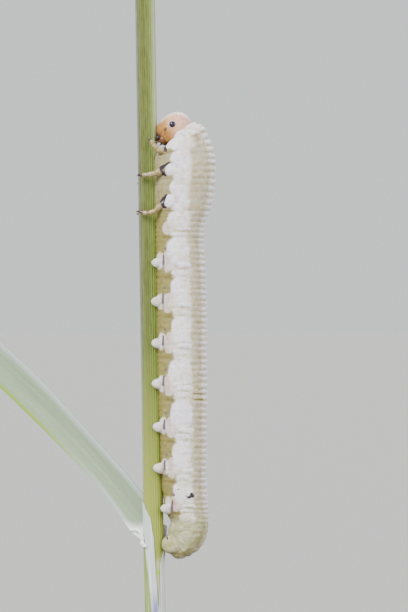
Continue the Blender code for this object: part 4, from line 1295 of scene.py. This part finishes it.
class LARVA_OT_legs(bpy.types.Operator):
    """Build the six jointed legs and their claws"""

    bl_idname = "larva.legs"
    bl_label = "Legs and claws"

    def execute(self, context):
        cuticle = leg_material()
        claw_finish = glossy_material("claw_cuticle", context.scene.larva_head.jaw, 0.25, 0.5, 0.1, "#6B4636")
        for side, sign in (("left", -1.0), ("right", 1.0)):
            for name, joints in LEGS.items():
                lift = RIGHT_LEG_LIFT[name] if side == "right" else 0.0
                path = [(x, sign * out, z + lift * min(1.0, k / 2.0)) for k, (x, out, z, _) in enumerate(joints)]
                points, share, centre = limb_grid(path, [(radius, radius) for _, _, _, radius in joints], 64, 28)
                joint = sum(bell(share, place, 0.020) for place in LEG_JOINTS)
                bulge = sum(bell(share, place, 0.08) for place in LEG_BULGES)
                swell = (0.012 * bulge - 0.020 * joint)[:, None] + 0.005 * rough(points, 0.12, 8)
                points = points + unit(points - centre[:, None, :]) * swell[..., None]
                mesh = grid_mesh(name, points, centre[0], centre[-1] + (centre[-1] - centre[-2]) * 0.8)
                lifted = points.copy()
                lifted[..., 2] -= lift * np.clip(share[:, None] * 2.0, 0.0, 1.0)
                mark = np.maximum(strokes(lifted, LEG_ROOT_STROKES), 0.8 * smooth_step(0.90, 1.0, share)[:, None])
                set_values(mesh, {"mark": mark, "joint": 0.55 * np.broadcast_to(joint[:, None], mark.shape)})
                item = new_object(f"{name}_{side}_cuticle", mesh)
                place_piece(item, cuticle, (f"{name}_{side}",))
                x, out, z = CLAW_ENDS[name]
                tip = np.array([x, sign * out, z + lift])
                root = centre[-1] - (centre[-1] - centre[-4]) * 0.6
                bend = (root + tip) * 0.5 + np.array([-0.03, 0.0, 0.05])
                claw_path = [root, root * 0.55 + bend * 0.45 + np.array([0.0, 0.0, 0.01]), bend, tip]
                points, _, centre = limb_grid(claw_path, CLAW_SIZES, 24, 18)
                mesh = grid_mesh("claw", points, centre[0], centre[-1] + (centre[-1] - centre[-2]) * 0.5)
                claw = new_object(name.replace("leg", "claw") + "_" + side, mesh)
                place_piece(claw, claw_finish)
        return {"FINISHED"}


def node_tree(name, sockets):
    """Start a Geometry Nodes tree with named inputs; returns it with what those inputs give."""
    tree = bpy.data.node_groups.new(name, "GeometryNodeTree")
    for label, kind in {"Geometry": "Geometry", **sockets}.items():
        tree.interface.new_socket(label, in_out="INPUT", socket_type="NodeSocket" + kind)
    tree.interface.new_socket("Geometry", in_out="OUTPUT", socket_type="NodeSocketGeometry")
    return tree, node(tree, "NodeGroupInput", out=None).outputs


def end_tree(tree, shape, finish):
    """End a tree: make its instances real, give them their material and lead them out."""
    real = node(tree, "GeometryNodeRealizeInstances", {"Geometry": shape})
    dressed = node(tree, "GeometryNodeSetMaterial", {"Geometry": real, "Material": finish})
    node(tree, "NodeGroupOutput", {"Geometry": dressed}, None)
    return tree


def run_tree(item, tree, values):
    """Run a tree on an object with its inputs set by identifier, and leave a plain mesh."""
    modifier = item.modifiers.new(tree.name, "NODES")
    modifier.node_group = tree
    for socket in tree.interface.items_tree:
        if socket.in_out == "INPUT" and socket.name in values:
            modifier[socket.identifier] = values[socket.name]
    plain_mesh(item)


def culm_tree():
    """A straight ribbed rod: a circle drawn in at its furrows and carried along a line."""
    sockets = {"Foot": "Vector", "Top": "Vector", "Radius": "Float", "Rib Count": "Float", "Rib Depth": "Float"}
    tree, given = node_tree("ribbed_culm", {**sockets, "Rings": "Int", "Finish": "Material"})
    line = node(tree, "GeometryNodeCurvePrimitiveLine", {"Start": given["Foot"], "End": given["Top"]})
    rings = node(tree, "GeometryNodeResampleCurve", {"Curve": line, "Count": given["Rings"]})
    circle = node(tree, "GeometryNodeCurvePrimitiveCircle", {"Resolution": CULM_SIDES, "Radius": given["Radius"]})
    share = node(tree, "GeometryNodeSplineParameter", out="Factor")
    turn = node(tree, "ShaderNodeMath", {0: share, 1: 2.0 * math.pi}, operation="MULTIPLY")
    waves = (
        node(tree, "ShaderNodeMath", {0: turn, 1: count}, operation="MULTIPLY")
        for count in (given["Rib Count"], BROAD_WAVES)
    )
    rib, broad = (node(tree, "ShaderNodeMath", {0: wave}, operation="COSINE") for wave in waves)
    both = node(tree, "ShaderNodeMath", {0: broad, 1: 0.5, 2: rib}, operation="MULTIPLY_ADD")
    deep = node(tree, "ShaderNodeMath", {0: both, 1: given["Rib Depth"]}, operation="MULTIPLY")
    scale = node(tree, "ShaderNodeMath", {0: deep, 1: given["Radius"]}, operation="DIVIDE")
    place = node(tree, "GeometryNodeInputPosition")
    offset = node(tree, "ShaderNodeVectorMath", {0: place, "Scale": scale}, operation="SCALE")
    ribbed = node(tree, "GeometryNodeSetPosition", {"Geometry": circle, "Offset": offset})
    body = node(tree, "GeometryNodeCurveToMesh", {"Curve": rings, "Profile Curve": ribbed, "Fill Caps": True})
    return end_tree(tree, body, given["Finish"])


def culm_material():
    """Living grass culm, grown in lengthwise fibres: satin, yellow-green, with a painted grey reflection of the sky
    down its left edge and a painted highlight down its right side.
    """
    settings = bpy.context.scene.grass_perch
    material, tree, shader = new_material(
        "grass_culm_living", roughness=0.48, subsurface_weight=0.12, subsurface_scale=0.3 * MM, specular_ior_level=0.4
    )
    # Painted light round the culm: the grey stops on its left edge are a painted reflection of the pale sky, and the
    # paler stops from 0.69 to 0.75 a painted highlight on the side towards the larva.
    strip = ((0.00, "#7C8C50"), (0.25, "#80877E"), (0.335, "#7B8272"), (0.355, "#676B4A"), (0.39, "#6C763C"))
    green = ((0.45, settings.culm_olive), (0.52, settings.culm_green), (0.62, "#83983E"), (0.69, "#8C9B5A"))
    bands = (*strip, *green, (0.75, "#8A9A6C"), (0.85, "#7C9048"), (1.00, "#7C8C50"))
    base = node(tree, "ShaderNodeValToRGB", {"Fac": "@around"}, stops=bands)
    ribs = {0: "@around", 1: 2.0 * math.pi * settings.rib_count}
    turned = node(tree, "ShaderNodeMath", ribs, operation="MULTIPLY")
    wave = node(tree, "ShaderNodeMath", {0: turned}, operation="COSINE")
    place = node(tree, "ShaderNodeCombineXYZ", {"X": "@arc", "Y": "@rise"})
    lines = fibres(tree, place, (0.09, 6.0, 1.0), 4.0)
    broken = fibres(tree, place, (0.25, 0.8, 1.0), 2.0)
    pale = ((0.36, "#B4B08E"), (0.50, "#FFFFFF"), (0.66, "#E6E8CE"))
    streaks = node(tree, "ShaderNodeValToRGB", {"Fac": lines}, stops=pale)
    furrow, darker, upper, low = (
        node(tree, "ShaderNodeMapRange", {"Value": value, "From Min": start, "From Max": end, "To Min": least})
        for value, start, end, least in (
            (wave, -0.2, -1.0, 0.0),
            (broken, 0.42, 0.62, 0.0),
            ("@rise", 16.0, 24.0, 0.12),
            ("@rise", 22.0, 12.0, 0.0),
        )
    )
    line = node(tree, "ShaderNodeMath", {0: furrow, 1: darker}, operation="MULTIPLY")
    line = node(tree, "ShaderNodeMath", {0: line, 1: upper}, operation="MULTIPLY")
    ripe = node(tree, "ShaderNodeMath", {0: low, 1: 0.62}, operation="MULTIPLY")
    base = lay(
        tree,
        base,
        ("MULTIPLY", 0.42, streaks),
        ("MULTIPLY", line, "#A89468"),
        ("MIX", ripe, "#A4AE48"),
        # Painted highlight on the upper culm, and the paler culm low down.
        ("MIX", "@pale", "#BCC0A0"),
        ("MIX", "@knot", "#A0C000"),
    )
    dress(tree, shader, base, lines, 0.5)
    return material


def around_values(mesh, centre_x):
    """Store how far round the stem each vertex lies, its arc in millimetres and its height in millimetres."""
    points = np.zeros(len(mesh.vertices) * 3, np.float32)
    mesh.vertices.foreach_get("co", points)
    points = points.reshape(-1, 3) / MM
    x = points[:, 0] - centre_x(points[:, 2])
    angle = np.arctan2(x, -points[:, 1])
    rise = points[:, 2]
    values = {"around": 0.5 + angle / (2.0 * math.pi), "arc": angle * ARC_RADIUS, "rise": rise}
    values["knot"] = bell(rise, NODE_Z, 0.15)
    # Painted highlight: lit whitens the upper culm on the side towards the larva; low down the culm is paler.
    lit = smooth_step(26.0, 36.0, rise) * bell(np.degrees(angle), 60.0, 20.0)
    values["pale"] = np.maximum(0.75 * lit, 0.7 * smooth_step(8.4, 7.7, rise))
    set_values(mesh, values)


class LARVA_OT_culm(bpy.types.Operator):
    """Build the ribbed grass stem"""

    bl_idname = "larva.culm"
    bl_label = "Grass culm"

    def execute(self, context):
        settings = context.scene.grass_perch
        foot, top = (Vector((stem_x(z), 0.0, z)) * MM for z in (STEM_FOOT_Z, STEM_TOP_Z))
        item = new_object("grass_culm", bpy.data.meshes.new("grass_culm"))
        material = culm_material()
        values = {
            "Foot": foot,
            "Top": top,
            "Radius": settings.culm_radius,
            "Rib Count": float(settings.rib_count),
            "Rib Depth": settings.rib_depth,
            "Rings": CULM_RINGS,
            "Finish": material,
        }
        run_tree(item, culm_tree(), values)
        face_out(item.data)
        around_values(item.data, stem_x)
        place_piece(item, material, ("perch_stem",))
        return {"FINISHED"}


def sheath_x(z):
    """The middle of the sheath at a height: on the culm above, bending to the rod's line at its foot."""
    share = np.clip((z - SHEATH_FOOT_Z) / 3.4, 0.0, 1.0)
    return SHEATH_FOOT_X + (stem_x(z) - SHEATH_FOOT_X) * share


def papery_material():
    """Leaf sheath: green with fine nerves, its edges a dry translucent membrane that catches the light; the flared
    margin at its back is painted brighter against the shade it sits in.
    """
    settings = bpy.context.scene.grass_perch
    material, tree, shader = new_material(
        "grass_sheath_papery", roughness=0.45, subsurface_weight=0.2, subsurface_scale=0.2 * MM
    )
    place = node(tree, "ShaderNodeCombineXYZ", {"X": "@arc", "Y": "@rise"})
    lines = fibres(tree, place, (0.12, 4.0, 1.0), 3.0)
    nerves, film = (
        node(tree, "ShaderNodeValToRGB", {"Fac": lines}, stops=stops)
        for stops in (
            ((0.38, "#6F8240"), (0.55, "#92A850"), (0.70, "#869E48")),
            ((0.34, "#C9CDD2"), (0.52, settings.papery), (0.68, "#EEF0F0")),
        )
    )
    # The film layer brightens the flared margin with painted light.
    base = lay(tree, film, ("MIX", "@green", nerves), ("MIX", "@film", "#E9ECF6"), ("MIX", "@violet", "#7F82B8"))
    dress(tree, shader, base, lines, 0.5)
    return material


class LARVA_OT_sheath(bpy.types.Operator):
    """Build the leaf sheath with its open front and papery edges"""

    bl_idname = "larva.sheath"
    bl_label = "Leaf sheath"

    def execute(self, context):
        table = np.array(SHEATH_MOUTH)
        rows, columns = 70, 150
        turn = np.linspace(table[0, 0], table[-1, 0], columns)
        top = np.interp(turn, table[:, 0], table[:, 1]) + 0.03 * np.sin(turn * 0.9)
        share = np.linspace(0.0, 1.0, rows)[:, None]
        z = SHEATH_FOOT_Z + (top[None, :] - SHEATH_FOOT_Z) * share
        angle = np.broadcast_to(np.radians(turn)[None, :], z.shape)
        below = top[None, :] - z
        flare = 0.03 * np.exp(-below / 0.35) + 0.24 * bell(turn, -246.0, 22.0)[None, :] * np.exp(-below / 0.7)
        overlap = 0.03 * smooth_step(-320.0, -345.0, np.broadcast_to(turn[None, :], z.shape))
        radius = SHEATH_RADIUS + flare + overlap + 0.01 * np.sin(turn * 0.35)[None, :]
        radius = np.minimum(radius, 0.66 + 0.3 * smooth_step(4.6, 9.0, z))
        points = np.stack([sheath_x(z) + radius * np.sin(angle), -radius * np.cos(angle), z], axis=-1)
        mesh = grid_mesh("grass_sheath", points, ring=False)
        green_angle = np.interp(z, *zip(*SHEATH_GREEN_EDGE))
        facing = np.degrees(angle)
        green = smooth_step(3.0, -5.0, facing - green_angle) * smooth_step(-200.0, -160.0, facing)
        green = green * smooth_step(0.15, 0.9, below + 0.6 * (facing < -110.0))
        values = {"green": green, "arc": angle * 0.65, "rise": z}
        values["violet"] = smooth_step(6.4, 5.0, z) * bell(facing, 2.0, 18.0)
        # The flared margin at the sheath's back right is whitish membrane, painted a brighter bluish white to stand
        # against the shade between culm and tail.
        values["film"] = 0.9 * smooth_step(8.8, 9.5, z) * bell(facing, -246.0, 60.0)
        set_values(mesh, values)
        item = new_object("grass_sheath", mesh)
        thicken(item, MEMBRANE * MM, 1.0)
        place_piece(item, papery_material(), ("perch_sheath",))
        return {"FINISHED"}


def blade_material():
    """Grass blade under a pale coat of wax: matt blue-green with fine lengthwise veins and greener edges."""
    settings = bpy.context.scene.grass_perch
    material, tree, shader = new_material(
        "grass_blade_waxy", roughness=0.55, subsurface_weight=0.15, subsurface_scale=0.25 * MM, specular_ior_level=0.35
    )
    place = node(tree, "ShaderNodeCombineXYZ", {"X": "@wide", "Y": "@far"})
    lines = fibres(tree, place, (0.10, 4.0, 1.0), 3.0)
    stops = ((0.30, "#839679"), (0.52, settings.blade_green), (0.72, "#94A78B"))
    base = node(tree, "ShaderNodeValToRGB", {"Fac": lines}, stops=stops)
    base = lay(tree, base, ("MIX", "@margin", "#BFC9CB"), ("MIX", "@edge", "#84A02C"), ("MIX", "@collar", "#F4F7F6"))
    dress(tree, shader, base, lines, 0.5)
    return material


class LARVA_OT_blade(bpy.types.Operator):
    """Build the leaf blade and the torn collar at its root"""

    bl_idname = "larva.blade"
    bl_label = "Leaf blade"

    def execute(self, context):
        settings = context.scene.grass_perch
        edges = np.array(LEAF_EDGES)
        places = np.linspace(0.0, 1.0, len(edges))
        rows, columns = 110, 61
        wanted = np.linspace(0.0, 1.0, rows)
        upper = curve_through(places, edges[:, 0], wanted)
        lower = curve_through(places, edges[:, 1], wanted)
        share = np.linspace(0.0, 1.0, columns)
        points = lower[:, None, :] + (upper - lower)[:, None, :] * share[None, :, None]
        width = np.linalg.norm(upper - lower, axis=1)
        fold = 0.16 * (np.abs(2.0 * share - 1.0) ** 1.3 - 0.5)
        veins = 0.004 * np.cos(2.0 * math.pi * share * 15.0)
        dip = np.broadcast_to(fold[None, :], (rows, columns)) + veins[None, :] * smooth_step(0.0, 0.1, wanted)[:, None]
        points[..., 1] -= dip
        mesh = grid_mesh("grass_blade", points, ring=False)
        near_edge = np.minimum(share, 1.0 - share)[None, :] * width[:, None]
        lower_rim = smooth_step(0.30, 0.75, wanted)[:, None] * (share < 0.5)[None, :]
        values = {"wide": share[None, :] * width[:, None]}
        values["far"] = np.broadcast_to((wanted * BLADE_LENGTH)[:, None], (rows, columns))
        values["edge"] = smooth_step(0.34, 0.10, near_edge) * lower_rim
        values["margin"] = 0.6 * smooth_step(0.45, 0.05, near_edge) * (1.0 - lower_rim)
        values["collar"] = smooth_step(0.45, 0.10, share[None, :] + 2.0 * wanted[:, None] - 0.12)
        set_values(mesh, values)
        item = new_object("grass_blade", mesh)
        thicken(item, settings.blade_thickness, 0.0)
        material = blade_material()
        place_piece(item, material, ("perch_leaf",))
        edges = np.array(LIGULE_EDGES)
        wanted = np.linspace(0.0, 1.0, 90)
        inner, rim = (curve_through(np.linspace(0.0, 1.0, len(edges)), edges[:, k], wanted) for k in (0, 1))
        share = np.linspace(0.0, 1.0, 9)
        points = inner[:, None, :] + (rim - inner)[:, None, :] * share[None, :, None]
        wave = np.sin(2.0 * math.pi * 8.0 * wanted)[:, None] * (share**1.5)[None, :]
        points[..., 1] -= 0.05 * np.sin(math.pi * share)[None, :] + 0.045 * wave
        points[..., 2] += 0.020 * wave + 0.012 * rough(points, 0.12, 9) * share[None, :]
        mesh = grid_mesh("grass_collar", points, ring=False)
        set_values(mesh, {"wide": 0.0, "far": 0.0, "edge": 0.0, "margin": 0.0, "collar": 0.95})
        collar = new_object("grass_ligule", mesh)
        thicken(collar, MEMBRANE * MM, 0.0)
        place_piece(collar, material)
        return {"FINISHED"}


def wood_material():
    """Oiled dark hardwood, sawn and sanded: a soft gleam, with fine pores along the grain."""
    settings = bpy.context.scene.display_stage
    material, tree, shader = new_material("hardwood_oiled", roughness=0.42, coat_weight=0.15, coat_roughness=0.3)
    place = node(tree, "ShaderNodeTexCoord", out="Object")
    grain = fibres(tree, place, (9.0 * MM, 1.1 * MM, 1.1 * MM), 5.0)
    pores = fibres(tree, place, (1.6 * MM, 0.12 * MM, 0.12 * MM), 2.0)
    stops = ((0.34, settings.wood_dark), (0.66, settings.wood_light))
    base = node(tree, "ShaderNodeValToRGB", {"Fac": grain}, stops=stops)
    dark = node(tree, "ShaderNodeMapRange", {"Value": pores, "From Min": 0.60, "From Max": 0.70})
    dress(tree, shader, lay(tree, base, ("MIX", dark, "#1E120B")), pores, 0.4)
    return material


def steel_material():
    """Drawn steel rod: bright, with fine drawing lines along it."""
    material, tree, shader = new_material("steel_drawn", metallic=1.0)
    place = node(tree, "ShaderNodeTexCoord", out="Object")
    lines = fibres(tree, place, (0.05 * MM, 0.05 * MM, 3.0 * MM), 2.0)
    base = node(tree, "ShaderNodeValToRGB", {"Fac": lines}, stops=((0.35, "#9A9B9E"), (0.65, "#C6C7C9")))
    gleam = node(tree, "ShaderNodeMapRange", {"Value": lines, "To Min": 0.22, "To Max": 0.42})
    tree.links.new(gleam, shader.inputs["Roughness"])
    dress(tree, shader, base, lines, 0.3)
    return material


class LARVA_OT_stand(bpy.types.Operator):
    """Finish the wooden base and turn the steel rod"""

    bl_idname = "larva.stand"
    bl_label = "Display stand"

    def execute(self, context):
        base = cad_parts["stand_base"]
        base.data.materials.clear()
        base.data.materials.append(wood_material())
        low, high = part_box("stand_rod")
        centre = (low + high) * 0.5 / MM
        radius = 0.5 * (high.x - low.x) / MM
        foot, top = low.z / MM, high.z / MM
        profile = (
            (foot, radius - 0.05),
            (foot + 0.05, radius),
            (foot + 0.30, radius),
            (top - 0.30, radius),
            (top - 0.06, radius),
            (top, radius - 0.06),
        )
        turn = turns(ROD_SIDES)
        rows = []
        for z, size in profile:
            ring = [centre.x + size * np.cos(turn), centre.y + size * np.sin(turn), np.full(ROD_SIDES, z)]
            rows.append(np.stack(ring, axis=-1))
        mesh = grid_mesh("stand_rod", np.array(rows), (centre.x, centre.y, foot), (centre.x, centre.y, top))
        item = new_object("stand_rod_steel", mesh)
        place_piece(item, steel_material(), ("stand_rod",))
        item.data.set_sharp_from_angle(angle=math.radians(35.0))
        return {"FINISHED"}


def scatter_tree(name, kind, shape, least, most, upright=False, stored=None):
    """Small shapes strewn over a surface, each between two shares of the full size.

    Shape gives the shape node's inputs, by value or by the name of the tree's own input. Upright ones stand out from
    the surface, and a value stored there can say how thickly they lie.
    """
    sizes = {value: "Float" for value in shape.values() if isinstance(value, str)}
    tree, given = node_tree(name, {"Amount": "Float", **sizes, "Seed": "Int", "Finish": "Material"})
    amount = given["Amount"]
    if stored:
        share = node(tree, "GeometryNodeInputNamedAttribute", {"Name": stored}, "Attribute", data_type="FLOAT")
        amount = node(tree, "ShaderNodeMath", {0: share, 1: amount}, operation="MULTIPLY")
    spots = {"Mesh": given["Geometry"], "Density": amount, "Seed": given["Seed"]}
    spread = node(tree, "GeometryNodeDistributePointsOnFaces", spots, None).outputs
    inputs = {key: given[value] if isinstance(value, str) else value for key, value in shape.items()}
    placed = {"Points": spread["Points"], "Instance": node(tree, kind, inputs)}
    drawn = {2: least, 3: most, "Seed": given["Seed"]}
    placed["Scale"] = node(tree, "FunctionNodeRandomValue", drawn, 1, data_type="FLOAT")
    if upright:
        placed["Rotation"] = spread["Rotation"]
    return end_tree(tree, node(tree, "GeometryNodeInstanceOnPoints", placed), given["Finish"])


class LARVA_OT_bristles(bpy.types.Operator):
    """Scatter the fine pale bristles over the head"""

    bl_idname = "larva.bristles"
    bl_label = "Fine bristles"

    def execute(self, context):
        settings = context.scene.larva_head
        material = glossy_material("bristle_pale", "#D8C9B0", 0.5, 0.0, 0.3, "#EFE7DA")
        item = new_object("head_bristles", bpy.data.objects["head_capsule"].data.copy())
        values = {
            "Amount": 9.0e6,
            "Length": settings.bristle_length,
            "Thickness": 0.006 * MM,
            "Seed": 4,
            "Finish": material,
        }
        cone = {"Vertices": 5, "Side Segments": 2, "Radius Top": 0.0, "Radius Bottom": "Thickness", "Depth": "Length"}
        tree = scatter_tree("fine_bristles", "GeometryNodeMeshCone", cone, 0.6, 1.15, upright=True)
        run_tree(item, tree, values)
        place_piece(item, material)
        return {"FINISHED"}


def wax_material():
    """Wax that the skin gives off as small grains: matt, chalk-white, with a faint violet cast."""
    material, tree, shader = new_material("wax_grain_matt", roughness=0.7)
    tone = speckle(tree, 0.3, 1.0)
    base = node(tree, "ShaderNodeValToRGB", {"Fac": tone}, stops=((0.40, "#DEDCEA"), (0.60, "#F4F3F0")))
    dress(tree, shader, base, tone, 0.2)
    return material


class LARVA_OT_granules(bpy.types.Operator):
    """Strew wax granules over the folds of the back"""

    bl_idname = "larva.granules"
    bl_label = "Wax granules"

    def execute(self, context):
        material = wax_material()
        item = new_object("wax_granules", bpy.data.objects["body_skin"].data.copy())
        values = {"Amount": 1.3e8, "Radius": 0.017 * MM, "Seed": 7, "Finish": material}
        ball = {"Radius": "Radius", "Subdivisions": 1}
        tree = scatter_tree("wax_granules", "GeometryNodeMeshIcoSphere", ball, 0.55, 1.3, stored="bead")
        run_tree(item, tree, values)
        place_piece(item, material)
        return {"FINISHED"}


class LARVA_OT_stage(bpy.types.Operator):
    """Set up the camera, the pale floor and the soft lights"""

    bl_idname = "larva.stage"
    bl_label = "Camera, floor and lights"

    def execute(self, context):
        settings = context.scene.display_stage
        scene = context.scene
        camera = bpy.data.cameras.new("camera")
        camera.sensor_fit = "VERTICAL"
        camera.sensor_height = camera.sensor_width = SENSOR
        camera.lens = SENSOR * CAMERA_DISTANCE / FRAME_HEIGHT
        camera.clip_start = 0.01
        camera.clip_end = 20.0
        view = new_object("camera", camera)
        view.location = (FRAME_MIDDLE[0] * MM, -CAMERA_DISTANCE * MM, FRAME_MIDDLE[1] * MM)
        view.rotation_euler = (math.radians(90.0), 0.0, 0.0)
        scene.camera = view
        turn = turns(FLOOR_SIDES)
        rings = [np.stack([r * np.cos(turn), r * np.sin(turn), np.zeros(FLOOR_SIDES)], -1) for r in FLOOR_RADII]
        floor = new_object("floor", grid_mesh("floor", np.array(rings), (0.0, 0.0, 0.0)))
        material, tree, shader = new_material("floor_matt_paint", roughness=0.8)
        place = node(tree, "ShaderNodeTexCoord", out="Object")
        tone = node(tree, "ShaderNodeTexNoise", {"Vector": place, "Scale": 60.0, "Detail": 2.0})
        slight = node(tree, "ShaderNodeMapRange", {"Value": tone, "To Min": 0.0, "To Max": 0.12})
        base = lay(tree, settings.floor, ("MIX", slight, "#939290"))
        tree.links.new(base, shader.inputs["Base Color"])
        floor.data.materials.append(material)
        for name, place, spread, power in LAMPS:
            lamp = bpy.data.lights.new(name, "SUN")
            lamp.angle = math.radians(spread)
            lamp.energy = getattr(settings, power)
            item = new_object(name, lamp)
            item.location = place
            item.rotation_mode = "QUATERNION"
            item.rotation_quaternion = (Vector(LAMP_AIM) - Vector(place)).to_track_quat("-Z", "Y")
        world = bpy.data.worlds.new("pale_sky")
        world.use_nodes = True
        sky = world.node_tree.nodes["Background"]
        sky.inputs["Color"].default_value = linear("#E4E6E6")
        sky.inputs["Strength"].default_value = settings.sky_strength
        scene.world = world
        return {"FINISHED"}


STEPS = (
    LARVA_OT_stage,
    LARVA_OT_skin,
    LARVA_OT_head,
    LARVA_OT_eyes,
    LARVA_OT_mouthparts,
    LARVA_OT_legs,
    LARVA_OT_culm,
    LARVA_OT_sheath,
    LARVA_OT_blade,
    LARVA_OT_stand,
    LARVA_OT_bristles,
    LARVA_OT_granules,
)
SETTINGS = (
    ("larva_skin", LarvaSkinSettings),
    ("larva_head", LarvaHeadSettings),
    ("grass_perch", GrassPerchSettings),
    ("display_stage", DisplayStageSettings),
)


class LARVA_PT_panel(bpy.types.Panel):
    """Lists the settings and the steps in the sidebar"""

    bl_idname = "LARVA_PT_panel"
    bl_label = "Sawfly larva"
    bl_space_type = "VIEW_3D"
    bl_region_type = "UI"
    bl_category = "Larva"

    def draw(self, context):
        for name, kind in SETTINGS:
            box = self.layout.box()
            group = getattr(context.scene, name)
            for key in kind.__annotations__:
                box.prop(group, key)
        for step in STEPS:
            self.layout.operator(step.bl_idname)


def register():
    """Register the settings, the operators and the panel."""
    for name, kind in SETTINGS:
        bpy.utils.register_class(kind)
        setattr(bpy.types.Scene, name, bpy.props.PointerProperty(type=kind))
    for step in STEPS:
        bpy.utils.register_class(step)
    bpy.utils.register_class(LARVA_PT_panel)


def unregister():
    """Undo what register does."""
    bpy.utils.unregister_class(LARVA_PT_panel)
    for step in reversed(STEPS):
        bpy.utils.unregister_class(step)
    for name, kind in reversed(SETTINGS):
        delattr(bpy.types.Scene, name)
        bpy.utils.unregister_class(kind)


def main():
    """Build every piece in order."""
    register()
    for step in STEPS:
        group, name = step.bl_idname.split(".")
        getattr(getattr(bpy.ops, group), name)()


if __name__ == "__main__":
    main()
